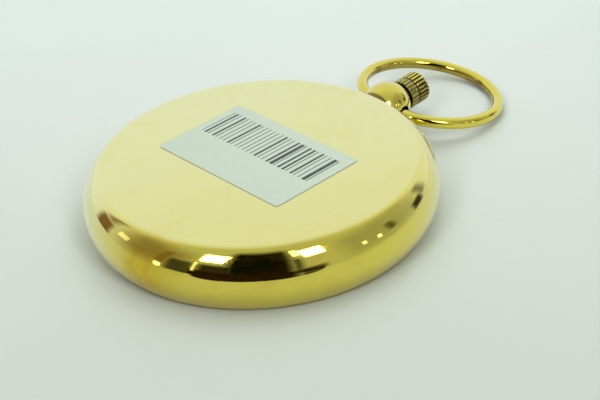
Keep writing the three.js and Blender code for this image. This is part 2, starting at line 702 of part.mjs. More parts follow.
function pendant() {
  const ball = [];
  for (let i = 0; i <= BALL_STEPS; i += 1) {
    const angle = Math.PI - ((Math.PI - LIP_ANGLE) * i) / BALL_STEPS;
    ball.push(point(BALL_RADIUS * Math.sin(angle), BALL_Y + BALL_HALF_LENGTH * Math.cos(angle)));
  }
  ball[0].x = 0;
  const blank = turned([
    ...ball,
    point(LIP_RADIUS - LIP_EDGE, LIP_Y),
    point(0, LIP_Y),
  ], BALL_SIDES);
  const under = FLOOR_Z - SADDLE_GAP;
  const seat = turned([point(0, under), ...caseOutline(under, SADDLE_GAP)], RING_SIDES);
  const tail = alongStem(rod(TAIL_RADIUS, TAIL_Y, BALL_Y, BALL_SIDES));
  const bore = alongStem(rod(BORE_RADIUS, TAIL_Y - WALL, LIP_Y + WALL, SHAFT_SIDES));
  let body = solid(alongStem(blank)).subtract(solid(seat)).add(solid(tail)).subtract(solid(bore));
  for (const side of [-1, 1]) {
    const depth = BALL_RADIUS + WALL - HOLE_END_X;
    const hole = alongX(rod(BOW_WIRE / 2 + BOW_HOLE_GAP, -depth / 2, depth / 2, SHAFT_SIDES));
    hole.translate(side * (HOLE_END_X + depth / 2), 0, 0).rotateY(BOW_LEAN).rotateZ(-BOW_YAW);
    body = body.subtract(solid(hole.translate(0, HINGE_Y + BOW_HOLE_SHIFT, STEM_Z)));
  }
  return shell(body);
}

function stemBush() {
  return alongStem(ring(STEM_RADIUS + STEM_GAP, BORE_RADIUS - BUSH_FIT_GAP, TAIL_Y, BUSH_Y, SHAFT_SIDES));
}

function stem() {
  const groove = STEM_RADIUS - GROOVE_DEPTH;
  const end = CROWN_Y + RECESS_DEPTH + STEM_SEAT_DEPTH - STEM_SEAT_GAP;
  return alongStem(turned([
    point(0, CONE_TIP_Y),
    point(CONE_TIP_RADIUS, CONE_TIP_Y),
    point(STEM_RADIUS, CONE_TIP_Y + (STEM_RADIUS - CONE_TIP_RADIUS) / CONE_SLOPE),
    point(STEM_RADIUS, CLIP_Y - CLIP_GAP),
    point(groove, CLIP_Y - CLIP_GAP),
    point(groove, CLIP_Y + CLIP_THICKNESS + CLIP_GAP),
    point(STEM_RADIUS, CLIP_Y + CLIP_THICKNESS + CLIP_GAP),
    point(STEM_RADIUS, end),
    point(0, end),
  ], SHAFT_SIDES));
}

function stemClip() {
  const bore = STEM_RADIUS - GROOVE_DEPTH + CLIP_GAP;
  return alongStem(ring(bore, CLIP_RADIUS, CLIP_Y, CLIP_Y + CLIP_THICKNESS, SHAFT_SIDES));
}

class Coil extends THREE.Curve {
  getPoint(t) {
    const angle = 2 * Math.PI * SPRING_TURNS * t;
    const margin = SPRING_WIRE / 2 + SPRING_END_GAP;
    const along = BUSH_Y + margin + (WASHER_Y - BUSH_Y - 2 * margin) * t;
    return new THREE.Vector3(SPRING_RADIUS * Math.cos(angle), SPRING_RADIUS * Math.sin(angle), along);
  }
}

function wireSection(radius, sides) {
  const points = [];
  for (let i = 0; i < sides; i += 1) {
    const angle = (2 * Math.PI * i) / sides;
    points.push(point(radius * Math.cos(angle), radius * Math.sin(angle)));
  }
  return new THREE.Shape(points);
}

function crownSpring() {
  const options = { steps: COIL_STEPS * SPRING_TURNS, extrudePath: new Coil(), bevelEnabled: false };
  return alongStem(new THREE.ExtrudeGeometry(wireSection(SPRING_WIRE / 2, COIL_SIDES), options));
}

function thrustWasher() {
  const high = WASHER_Y + WASHER_THICKNESS;
  return alongStem(ring(STEM_RADIUS + STEM_GAP, WASHER_RADIUS, WASHER_Y, high, SHAFT_SIDES));
}

// A fluted bar: crests and roots of like width round the crown, with sloping flanks between them
function flutedBar(depth, low, high) {
  const points = [];
  const flank = (1 - FLUTE_CREST_SHARE - FLUTE_ROOT_SHARE) / 2;
  const root = CROWN_RADIUS - depth;
  const corners = [
    [0, CROWN_RADIUS],
    [FLUTE_CREST_SHARE, CROWN_RADIUS],
    [FLUTE_CREST_SHARE + flank, root],
    [1 - flank, root],
  ];
  for (let i = 0; i < FLUTE_COUNT; i += 1) {
    for (const [share, r] of corners) {
      const angle = (2 * Math.PI * (i + share)) / FLUTE_COUNT;
      points.push(point(r * Math.cos(angle), r * Math.sin(angle)));
    }
  }
  const options = { depth: high - low, bevelEnabled: false };
  return new THREE.ExtrudeGeometry(new THREE.Shape(points), options).translate(0, 0, low);
}

// A core with two fluted bands on it, rounded at the outer end, with a recess for spring and washer
function crown() {
  const end = CROWN_Y + CROWN_LENGTH;
  const groove = CROWN_Y + CROWN_INNER_BAND;
  const core = rod(CROWN_RADIUS - CROWN_GROOVE_DEPTH, CROWN_Y, end, CROWN_SIDES);
  const blank = turned([
    point(0, CROWN_Y),
    point(CROWN_RADIUS, CROWN_Y),
    ...arc(CROWN_RADIUS - CROWN_EDGE_RADIUS, end - CROWN_EDGE_RADIUS, CROWN_EDGE_RADIUS, 0, Math.PI / 2),
    point(0, end),
  ], CROWN_SIDES);
  const recess = rod(RECESS_RADIUS, CROWN_Y - WALL, CROWN_Y + RECESS_DEPTH, SHAFT_SIDES);
  const seatEnd = CROWN_Y + RECESS_DEPTH + STEM_SEAT_DEPTH;
  const seat = rod(STEM_RADIUS + STEM_SEAT_GAP, CROWN_Y - WALL, seatEnd, SHAFT_SIDES);
  const knob = solid(core)
    .add(solid(flutedBar(FINE_FLUTE_DEPTH, CROWN_Y, groove)))
    .add(solid(flutedBar(FLUTE_DEPTH, groove + CROWN_GROOVE_WIDTH, end)))
    .intersect(solid(blank))
    .subtract(solid(recess))
    .subtract(solid(seat));
  return alongStem(shell(knob));
}

// The bow's centre line in its own plane: the hinge is the origin, +Y points away from the case. The
// circle crosses the hinge's line just outside the ball.
const BOW_CENTRE = Math.sqrt(BOW_RADIUS ** 2 - (BALL_RADIUS + BOW_MOUTH_GAP) ** 2);

class BowArc extends THREE.Curve {
  constructor(start) {
    super();
    this.start = start;
  }

  getPoint(t) {
    const angle = this.start + (2 * Math.PI - 2 * this.start) * t;
    return new THREE.Vector3(BOW_RADIUS * Math.sin(angle), BOW_CENTRE - BOW_RADIUS * Math.cos(angle), 0);
  }
}

function bowLine() {
  const start = Math.acos(BOW_CENTRE / BOW_RADIUS) + BOW_BEND;
  const ringPart = new BowArc(start);
  const join = ringPart.getPoint(0);
  const bendX = join.x - join.y / Math.tan(start);
  const tipX = BALL_RADIUS - BOW_PIN_INSET;
  const at = (x, y) => new THREE.Vector3(x, y, 0);
  const line = new THREE.CurvePath();
  line.add(new THREE.LineCurve3(at(tipX, 0), at(tipX + BOW_PIN_LENGTH, 0)));
  line.add(new THREE.QuadraticBezierCurve3(at(tipX + BOW_PIN_LENGTH, 0), at(bendX, 0), join));
  line.add(ringPart);
  const far = at(-join.x, join.y);
  line.add(new THREE.QuadraticBezierCurve3(far, at(-bendX, 0), at(-tipX - BOW_PIN_LENGTH, 0)));
  line.add(new THREE.LineCurve3(at(-tipX - BOW_PIN_LENGTH, 0), at(-tipX, 0)));
  return line;
}

// The dip at which the leaning circle's lowest point just clears the floor
function bowDip() {
  const lean = Math.sin(BOW_LEAN);
  const drop = STEM_Z - BOW_WIRE / 2 - FLOOR_Z - BOW_FLOOR_GAP - BOW_SLIDE * lean;
  const a = BOW_RADIUS ** 2 - BOW_CENTRE ** 2;
  const b = drop * BOW_CENTRE;
  const sunk = (Math.sqrt(b ** 2 - a * ((BOW_RADIUS * lean) ** 2 - drop ** 2)) - b) / a;
  return Math.asin(sunk / Math.cos(BOW_LEAN));
}

function bowRing() {
  const options = { steps: BOW_STEPS, extrudePath: bowLine(), bevelEnabled: false };
  const wire = new THREE.ExtrudeGeometry(wireSection(BOW_WIRE / 2, BOW_SIDES), options);
  const hung = wire.translate(BOW_SLIDE, 0, 0).rotateX(-bowDip()).rotateY(BOW_LEAN).rotateZ(-BOW_YAW);
  return hung.translate(0, HINGE_Y, STEM_Z);
}

function paperLabel() {
  const x = LABEL_LENGTH / 2;
  const y = LABEL_WIDTH / 2;
  const cut = LABEL_CORNER;
  const shape = polygon([
    [-x + cut, -y],
    [x - cut, -y],
    [x, -y + cut],
    [x, y - cut],
    [x - cut, y],
    [-x + cut, y],
    [-x, y - cut],
    [-x, -y + cut],
  ]);
  const sheet = plate(shape, BACK_Z, BACK_Z + LABEL_THICKNESS);
  return sheet.rotateZ(LABEL_TURN).translate(...LABEL_PLACE, 0);
}

add('back_case', backCase(), brass);
add('bezel', bezel(), brass);
add('crystal', crystal(), glass);
add('crystal_ring', crystalRing(), brass);
add('degree_ring', degreeRing(), enamel);
add('dial_plate', dialPlate(), enamel);
add('base_plate', basePlate(), darkBrass);
pillarPlaces.forEach((place, i) => {
  add(`dial_pillar_${i + 1}`, dialPillar(place), darkBrass);
  const tip = DIAL_BACK_Z + DIAL_SCREW_LENGTH - RIVET_SHORT;
  add(`dial_screw_${i + 1}`, screw(DIAL_FACE_Z, tip, ...place), steel);
});
add('pivot_post', pivotPost(), darkBrass);
add('pivot_point', pivotPoint(), steel);
add('needle', needle(), blued);
add('needle_cap', needleCap(), brass);
add('needle_jewel', needleJewel(), jewel);
add('balance_weight', balanceWeight(), darkBrass);
add('lifting_collar', liftingCollar(), darkBrass);
add('lifter_lever', lifterLever(), darkBrass);
add('lever_pin', pinHole(PIN_RADIUS), steel);
add('lever_bracket', leverBracket(), darkBrass);
const baseScrewTip = BASE_FACE_Z + BASE_SCREW_BITE;
bracketScrewPlaces.forEach((y, i) => {
  add(`bracket_screw_${i + 1}`, screw(BASE_FACE_Z - BRACKET_WALL, baseScrewTip, 0, y), steel);
});
add('lever_spring', leverSpring(), steel);
add('spring_screw', screw(BASE_FACE_Z - LEAF_THICKNESS, baseScrewTip, 0, LEAF_SCREW_Y), steel);
add('pendant', pendant(), brass);
add('stem_bush', stemBush(), darkBrass);
add('stem', stem(), steel);
add('stem_clip', stemClip(), steel);
add('crown_spring', crownSpring(), steel);
add('thrust_washer', thrustWasher(), darkBrass);
add('crown', crown(), brass);
add('bow_ring', bowRing(), brass);
add('paper_label', paperLabel(), paper);

export default compass;
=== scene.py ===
import json
import math

import bmesh
import bpy
from bpy.props import FloatProperty, FloatVectorProperty, IntProperty, PointerProperty
from bpy.types import Operator, Panel, PropertyGroup
from mathutils import Matrix, Vector


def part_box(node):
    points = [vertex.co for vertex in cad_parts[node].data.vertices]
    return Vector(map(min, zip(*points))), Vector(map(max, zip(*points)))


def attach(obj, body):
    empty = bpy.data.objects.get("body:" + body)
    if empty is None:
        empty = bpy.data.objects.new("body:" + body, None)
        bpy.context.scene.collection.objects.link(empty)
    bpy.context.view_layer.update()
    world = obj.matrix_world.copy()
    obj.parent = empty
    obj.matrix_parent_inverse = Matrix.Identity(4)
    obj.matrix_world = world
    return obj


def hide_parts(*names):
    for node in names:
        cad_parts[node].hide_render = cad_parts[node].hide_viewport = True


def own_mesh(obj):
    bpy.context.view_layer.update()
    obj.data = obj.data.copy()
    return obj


bl_info = {
    "name": "Brass Pocket Compass",
    "version": (1, 0, 0),
    "blender": (4, 5, 0),
    "location": "View3D > Sidebar > Compass",
    "description": "Models and finishes a brass pocket compass over its CAD frame, and lights it on a table",
    "category": "Add Mesh",
}

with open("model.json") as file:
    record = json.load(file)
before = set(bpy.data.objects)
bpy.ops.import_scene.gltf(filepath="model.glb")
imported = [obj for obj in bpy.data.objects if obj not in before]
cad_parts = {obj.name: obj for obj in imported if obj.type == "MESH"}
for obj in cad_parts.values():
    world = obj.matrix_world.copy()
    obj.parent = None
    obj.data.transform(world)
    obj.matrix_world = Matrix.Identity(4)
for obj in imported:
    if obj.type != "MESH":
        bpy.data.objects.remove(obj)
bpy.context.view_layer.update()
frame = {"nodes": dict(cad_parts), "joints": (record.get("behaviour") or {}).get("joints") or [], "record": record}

MM = 0.001
FULL_TURN = 2.0 * math.pi
QUARTER_TURN = 0.5 * math.pi
WELD = 1e-7
ORIGIN = (0.0, 0.0, 0.0)
UPWARDS = (0.0, 0.0, 1.0)


def low(node):
    """Lowest corner of a CAD node."""
    return Vector(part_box(node)[0])


def high(node):
    """Highest corner of a CAD node."""
    return Vector(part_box(node)[1])


# Places that the frame gives, in metres
FLOOR_Z = low("bezel").z
BACK_Z = high("back_case").z
MOUTH_Z = low("back_case").z
CASE_RADIUS = high("back_case").x
CROWN_LOW, CROWN_HIGH = low("crown"), high("crown")
CROWN_RADIUS = 0.5 * (CROWN_HIGH.x - CROWN_LOW.x)
STEM_Z = 0.5 * (CROWN_LOW.z + CROWN_HIGH.z)
JOINTS = {joint["name"]: joint for joint in frame["joints"]}
BOW_HINGE = Vector(JOINTS["bow_swing"]["pos_m"])
BOW_AXIS = Vector(JOINTS["bow_swing"]["axis"])

# Where the wall is stained, and where the pendant is soldered to it, round which a dark line of shade is painted
# on the ball's edge, in metres
STAIN_PLACE = (4.5 * MM, -40.6 * MM, 6.8 * MM)
PENDANT_ROOT = (0.0, CASE_RADIUS, STEM_Z)


def length(name, description, millimetres):
    """A size that is given in millimetres and kept in metres."""
    return FloatProperty(
        name=name, description=description, default=millimetres * MM, unit="LENGTH", precision=5)


def angle(name, description, degrees):
    """An angle that is given in degrees."""
    return FloatProperty(name=name, description=description, default=math.radians(degrees), subtype="ANGLE")


def count(name, description, number):
    """A whole number of at least three."""
    return IntProperty(name=name, description=description, default=number, min=3)


def colour(name, description, red, green, blue):
    """A linear colour."""
    return FloatVectorProperty(name=name, description=description, default=(red, green, blue), size=3,
                               subtype="COLOR", min=0.0, max=1.0)


def share(name, description, value):
    """A part of one."""
    return FloatProperty(
        name=name, description=description, default=value, min=0.0, max=1.0, subtype="FACTOR")


class CaseSizes(PropertyGroup):
    """Sizes of the case, its bezel and its glass"""
    radius: length("Case radius", "Radius of the wall at its widest place", CASE_RADIUS / MM)
    bulge_height: length("Bulge height", "Height of the wall's widest place above the rim", 6.6)
    rim_tuck: length("Rim tuck", "How far the wall draws in from its widest place to the rim", 2.5)
    back_inset: length("Back inset", "How far the flat back ends inside the widest place", 5.43)
    corner_radius: length("Corner radius", "Rounding between the wall and the flat back", 3.0)
    wall: length("Wall", "Thickness of the spun sheet", 0.9)
    mouth_radius: length("Mouth radius", "Bore that the bezel goes into", 37.6)
    mouth_depth: length("Mouth depth", "Length of that bore", 2.4)
    mouth_slope: length("Mouth slope", "Height of the cone above that bore", 1.4)
    seam: length("Seam", "Open joint between the bezel and the case", 0.15)
    lip_radius: length("Lip radius", "Bore of the bezel's lip", 33.25)
    rim_edge: length("Rim edge", "Rounding of the rim's outer edge", 0.45)
    skirt_radius: length("Skirt radius", "Outside of the bezel's skirt", 37.35)
    skirt_bore: length("Skirt bore", "Inside of the bezel's skirt", 36.0)
    glass_flat: length("Glass flat", "Radius of the glass's flat outer face", 32.95)
    glass_bevel: length("Glass bevel", "Depth of the glass's bevel", 1.05)
    glass_edge: length("Glass edge", "Rounding of the glass's back edge and of the bezel's lip", 0.12)
    bevel_gap: length("Bevel gap", "Room between the bevel and the lip, along the radius", 0.4)
    ring_width: length("Glass ring width", "Width of the ring behind the glass", 1.25)
    ring_edge: length("Glass ring edge", "Rounding of that ring's edges", 0.1)
    scale_width: length("Degree ring width", "Width of the ring that has the degrees", 5.5)
    scale_edge: length("Degree ring edge", "Rounding of that ring's edges", 0.08)
    segments: count("Segments", "Faces round the case", 192)


class PendantSizes(PropertyGroup):
    """Sizes of the ball pendant"""
    ball_y: length("Ball place", "Distance of the ball's centre from the needle's axis", 44.7)
    ball_half: length("Ball half length", "Half length of the ball along the stem", 6.6)
    ball_radius: length("Ball radius", "Radius of the ball across the stem", 5.85)
    mouth_radius: length("Mouth radius", "Radius of the ball where it ends", 3.75)
    mouth_edge: length("Mouth edge", "Chamfer of the ball's end and of its bore", 0.2)
    bore: length("Bore", "Radius of the bore for the stem's bush", 2.35)
    tail_radius: length("Tail radius", "Radius of the tail in the wall", 3.0)
    tail_gap: length("Tail gap", "Room round the tail in the wall", 0.2)
    seat_gap: length("Seat gap", "Solder line between the ball and the wall", 0.03)
    hole_radius: length("Hole radius", "Radius of the holes for the bow", 2.0)
    hole_shift: length("Hole shift", "How far the holes lie beyond the bow's ends", 0.38)
    hole_depth: length("Hole bottom", "Distance of a hole's bottom from the stem's axis", 2.85)
    segments: count("Segments", "Faces round the ball", 96)


class CrownSizes(PropertyGroup):
    """Sizes of the fluted crown"""
    end_radius: length("End radius", "Rounding of the outer end", 0.5)
    inner_edge: length("Inner edge", "Rounding of the inner end", 0.3)
    inner_band: length("Inner band", "Length of the shallow fluted inner band", 2.73)
    groove: length("Groove", "Width of the groove between the bands", 0.35)
    groove_depth: length("Groove depth", "Depth of that groove", 0.4)
    groove_edge: length("Groove edge", "Rounding of that groove's edges", 0.12)
    near_depth: length("Near flute depth", "Depth of the outer band's flutes beside the groove", 0.2)
    far_depth: length("Far flute depth", "Depth of those flutes at the outer end", 0.5)
    fine_depth: length("Fine flute depth", "Depth of the inner band's flutes", 0.16)
    flutes: count("Flutes", "Number of flutes on each band", 24)
    flute_share: share("Flute share", "Part of the pitch that a flute takes", 0.5)
    end_flat: length("End flat", "Radius of the outer end's plain middle", 2.5)
    recess_lip: length("Recess lip", "Chamfer round the recess in the inner end", 0.15)
    recess_radius: length("Recess radius", "Radius of the recess for the spring and the washer", 2.7)
    recess_depth: length("Recess depth", "Depth of that recess", 2.0)
    seat_radius: length("Seat radius", "Radius of the hole for the stem", 1.2)
    seat_depth: length("Seat depth", "Depth of that hole below the recess", 3.0)
    spring_wire: length("Spring wire", "Diameter of the coil spring's wire", 0.4)
    spring_turns: count("Spring turns", "Number of the coil spring's turns", 6)


class BowSizes(PropertyGroup):
    """Sizes of the wire bow"""
    wire: length("Wire", "Diameter of the wire", 2.9)
    radius: length("Bow radius", "Radius of the ring to the middle of the wire", 17.3)
    mouth: length("Mouth", "Half width of the mouth that takes the ball", 7.0)
    bend: length("Bend", "Radius of the two bends into the ball", 4.0)
    tip_edge: length("Tip edge", "Rounding of the tips", 0.25)
    tip: length("Tip", "Distance of a tip from the stem's axis", 3.85)
    slide: length("Slide", "How far the loose bow lies to one side", 0.6)
    floor_gap: length("Floor gap", "Height of the bow's lowest place above the floor", 0.1)
    sides: count("Sides", "Faces round the wire", 32)


class LabelSizes(PropertyGroup):
    """Sizes of the paper label"""
    long_side: length("Length", "Long side of the label", 40.0)
    short_side: length("Width", "Short side of the label", 25.0)
    edge: length("Edge", "Rounding of its upper edge", 0.03)
    corner: length("Corner", "Rounding of its corners", 0.8)
    centre: FloatVectorProperty(name="Centre", description="Where its middle lies on the back", size=2,
                                default=(-0.9 * MM, 0.4 * MM), unit="LENGTH", precision=5)
    turn: angle("Turn", "How far it is turned on the back", -3.6)
    module: length("Bar width", "Width of the narrowest printed bar", 0.375)
    field: length("Bar field", "Half length of the field of bars", 17.95)
    field_top: length("Bar top", "Where the bars end towards the long side", 9.4)
    field_foot: length("Bar foot", "Where the bars end below the middle", -1.2)


class DialSizes(PropertyGroup):
    """Sizes of the dial's print"""
    print_depth: length("Print depth", "Thickness of the printed ink", 0.02)
    scale_gap: length("Scale gap", "Room between the ticks and the bezel's lip", 0.15)
    tick: length("Tick", "Length of a two degree tick", 1.1)
    long_tick: length("Long tick", "Length of a ten degree tick", 1.9)
    tick_width: length("Tick width", "Width of a two degree tick", 0.16)
    long_tick_width: length("Long tick width", "Width of a ten degree tick", 0.224)
    number_size: length("Number size", "Height of the degree numbers", 2.3)
    letter_size: length("Letter size", "Height of the cardinal letters", 5.6)
    letter_place: length("Letter place", "Distance of the letters from the centre", 20.6)
    circle: length("Circle", "Radius of the circle inside the degree ring", 28.0)
    circle_line: length("Circle line", "Width of that circle's line", 0.25)
    rose_radius: length("Rose radius", "Reach of the rose's long points", 16.0)
    rose_short: length("Rose short", "Reach of the rose's short points", 9.92)
    rose_waist: length("Rose waist", "Distance of the notches between the points", 4.4)
    rose_hub: length("Rose hub", "Distance of the points' feet from the centre", 3.3)
    hub_gap: length("Hub gap", "Room between those feet and the circle round the collar", 0.12)
    hub_line: length("Hub line", "Width of that circle's line", 0.23)


class FinishColours(PropertyGroup):
    """Colours and gloss of the finishes"""
    brass: colour("Brass", "Polished wall, pendant and bow", 0.82, 0.67, 0.045)
    # Painted glare: this pale colour stands in for bright reflection on the flat back, the wall's far sides and
    # the crown's lands.
    pale_brass: colour("Pale brass", "Hazed flat back", 0.88, 0.84, 0.41)
    # This brown is tarnished brass in crevices, and also painted shade on the crown's underside, on the ball's
    # edge by the wall and along the bow's lower inside.
    tarnish: colour("Tarnish", "Brass that cloths don't reach", 0.22, 0.13, 0.035)
    amber: colour("Amber", "Warm stains on the wall", 0.64, 0.42, 0.012)
    # This near-black is dirt, and also painted shade, in the flute roots at the outer end and in the crevices.
    soil: colour("Soil", "Dirt in the crown's flutes", 0.06, 0.042, 0.022)
    plain_brass: colour("Plain brass", "Turned brass inside", 0.66, 0.52, 0.22)
    steel: colour("Steel", "Bright steel inside", 0.60, 0.61, 0.63)
    enamel: colour("Enamel", "White dial", 0.86, 0.84, 0.77)
    ink: colour("Ink", "Print on the dial", 0.018, 0.018, 0.02)
    north: colour("North", "Lacquer of the needle's north half", 0.46, 0.035, 0.028)
    south: colour("South", "Lacquer of the needle's south half", 0.03, 0.07, 0.22)
    agate: colour("Agate", "Bearing in the needle's cap", 0.52, 0.13, 0.08)
    paper: colour("Paper", "Label's paper", 0.585, 0.675, 0.56)
    bars: colour("Bars", "Label's printed bars", 0.012, 0.016, 0.016)
    glass: colour("Glass", "Glass over the dial", 0.95, 0.985, 0.97)
    bow_lacquer: share("Bow lacquer", "How much lacquer is left on the bow", 0.75)
    gloss: share("Brass roughness", "Roughness of clean polished brass", 0.045)


class StudioSettings(PropertyGroup):
    """Floor, lights and camera"""
    floor: colour("Floor", "Colour of the table's paper", 0.91, 0.98, 0.98)
    # Painted shade: the paper is painted darker towards the camera.
    near_floor: colour("Near floor", "Colour of the paper in front of the camera", 0.592, 0.64, 0.574)
    sky: colour("Surround", "Colour of the pale surround", 0.93, 1.0, 0.96)
    dark_room: colour("Dark room", "Dark things that the wall mirrors", 0.006, 0.009, 0.009)
    warm_room: colour("Warm room", "Their warmer blotches", 0.032, 0.016, 0.009)
    brown_room: colour("Brown room", "Brown things that the wall mirrors", 0.28, 0.15, 0.05)
    azimuth: angle("Azimuth", "Where the camera stands round the case", 45.0)
    elevation: angle("Elevation", "How high the camera looks down from", 32.39)
    roll: angle("Roll", "How far the camera is tilted", -4.55)
    distance: length("Distance", "Camera to the case's axis at the floor", 348.3)
    aim_right: length("Aim right", "How far the camera stands to the right of that line", 8.429)
    aim_up: length("Aim up", "How far the camera stands above that line", 2.438)
    lens: FloatProperty(
        name="Lens", description="Focal length on a 36 mm wide sensor", default=90.0, unit="CAMERA")


class CompassProperties(PropertyGroup):
    """All that a user would change"""
    case: PointerProperty(name="Case", description="Case, bezel and glass", type=CaseSizes)
    pendant: PointerProperty(name="Pendant", description="Ball pendant", type=PendantSizes)
    crown: PointerProperty(name="Crown", description="Fluted crown", type=CrownSizes)
    bow: PointerProperty(name="Bow", description="Wire bow", type=BowSizes)
    label: PointerProperty(name="Label", description="Paper label", type=LabelSizes)
    dial: PointerProperty(name="Dial", description="Dial's print", type=DialSizes)
    finish: PointerProperty(name="Finish", description="Colours and gloss", type=FinishColours)
    studio: PointerProperty(name="Studio", description="Floor, lights and camera", type=StudioSettings)


def verts_of(geom):
    """The vertices among an operator's results."""
    return [item for item in geom if isinstance(item, bmesh.types.BMVert)]


def edges_of(geom):
    """The edges among an operator's results."""
    return [item for item in geom if isinstance(item, bmesh.types.BMEdge)]


def rim_edges(rim):
    """The edges of a ring's vertices."""
    return list(dict.fromkeys(edge for vert in rim for edge in vert.link_edges))


class Section:
    """Half a turned section, drawn with a pen in the XZ plane and spun round Z."""

    def __init__(self, radius, height):
        self.bm = bmesh.new()
        self.start = self.tip = self.bm.verts.new((radius, 0.0, height))

    def line(self, radius, height):
        """Draws straight to a point."""
        self.tip = bmesh.ops.extrude_vert_indiv(self.bm, verts=[self.tip])["verts"][0]
        self.tip.co = (radius, 0.0, height)
        return self

    def arc(self, radius, height, turn, steps):
        """Draws an arc round a centre, anticlockwise where the turn is positive."""
        swept = bmesh.ops.spin(self.bm, geom=[self.tip], cent=(radius, 0.0, height), axis=(0.0, -1.0, 0.0),
                               angle=turn, steps=steps)
        self.tip = verts_of(swept["geom_last"])[0]
        return self

    def close(self):
        """Joins the end to the start."""
        self.bm.edges.new((self.tip, self.start))
        return self

    def spin(self, segments):
        """The closed solid that the section sweeps."""
        bm = self.bm
        bmesh.ops.remove_doubles(bm, verts=bm.verts[:], dist=WELD)
        bmesh.ops.spin(bm, geom=bm.verts[:] + bm.edges[:], cent=ORIGIN, axis=UPWARDS, angle=FULL_TURN,
                       steps=segments, use_merge=True)
        return welded(bm)


def welded(bm):
    """Merges doubles and turns the faces outwards."""
    bmesh.ops.remove_doubles(bm, verts=bm.verts[:], dist=WELD)
    bmesh.ops.recalc_face_normals(bm, faces=bm.faces[:])
    return bm


def ease(bm, edges, offset, segments):
    """Rounds edges."""
    bmesh.ops.bevel(bm, geom=edges, offset=offset, affect="EDGES", segments=segments, profile=0.5,
                    material=-1)


def along_stem(bm):
    """Lays a solid that was turned round Z along the stem's axis."""
    place = Matrix.Translation((0.0, 0.0, STEM_Z)) @ Matrix.Rotation(-QUARTER_TURN, 4, "X")
    bmesh.ops.transform(bm, matrix=place, verts=bm.verts[:])
    return bm


def mesh_object(name, bm):
    """Links a bmesh to the scene as an object."""
    mesh = bpy.data.meshes.new(name)
    bm.to_mesh(mesh)
    bm.free()
    piece = bpy.data.objects.new(name, mesh)
    bpy.context.scene.collection.objects.link(piece)
    return piece


def carve(piece, *cutters):
    """Takes the cutters out of a piece and deletes them."""
    for cutter in cutters:
        cut = piece.modifiers.new("Cut", "BOOLEAN")
        cut.operation, cut.solver, cut.object = "DIFFERENCE", "MANIFOLD", cutter
    ready = piece.evaluated_get(bpy.context.evaluated_depsgraph_get())
    carved = bpy.data.meshes.new_from_object(ready)
    piece.modifiers.clear()
    blank, piece.data = piece.data, carved
    carved.name = piece.name
    bpy.data.meshes.remove(blank)
    for cutter in cutters:
        bpy.data.meshes.remove(cutter.data)


def dress(piece, body, nodes, finish, crease=35.0):
    """Shades a piece, gives it its finish and joins it to the frame."""
    mesh = piece.data
    mesh.materials.clear()
    mesh.materials.append(bpy.data.materials[finish])
    mesh.shade_smooth()
    mesh.set_sharp_from_angle(angle=math.radians(crease))
    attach(piece, body)
    if nodes:
        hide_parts(*nodes)


def properties(context):
    """The compass's properties."""
    return context.scene.brass_compass


# Finishes


class Signal:
    """A shader value that takes arithmetic, each step of which is a node."""

    def __init__(self, nodes, socket):
        self.nodes, self.socket = nodes, socket

    def step(self, operation, *others):
        """One step of arithmetic."""
        return self.nodes.add("ShaderNodeMath", dict(enumerate((self, *others))), operation=operation)

    def __add__(self, other):
        return self.step("ADD", other)

    def __sub__(self, other):
        return self.step("SUBTRACT", other)

    def __rsub__(self, other):
        return self.nodes.add("ShaderNodeMath", {0: other, 1: self}, operation="SUBTRACT")

    def __mul__(self, other):
        return self.step("MULTIPLY", other)

    def most(self, other):
        """The greater of two values."""
        return self.step("MAXIMUM", other)

    def ramp(self, from_low, from_high, to_low=0.0, to_high=1.0, smooth=True):
        """Maps a range of the value to another, held at its ends."""
        ends = {"From Min": from_low, "From Max": from_high, "To Min": to_low, "To Max": to_high}
        return self.nodes.add("ShaderNodeMapRange", {"Value": self, **ends},
                              interpolation_type="SMOOTHSTEP" if smooth else "LINEAR")


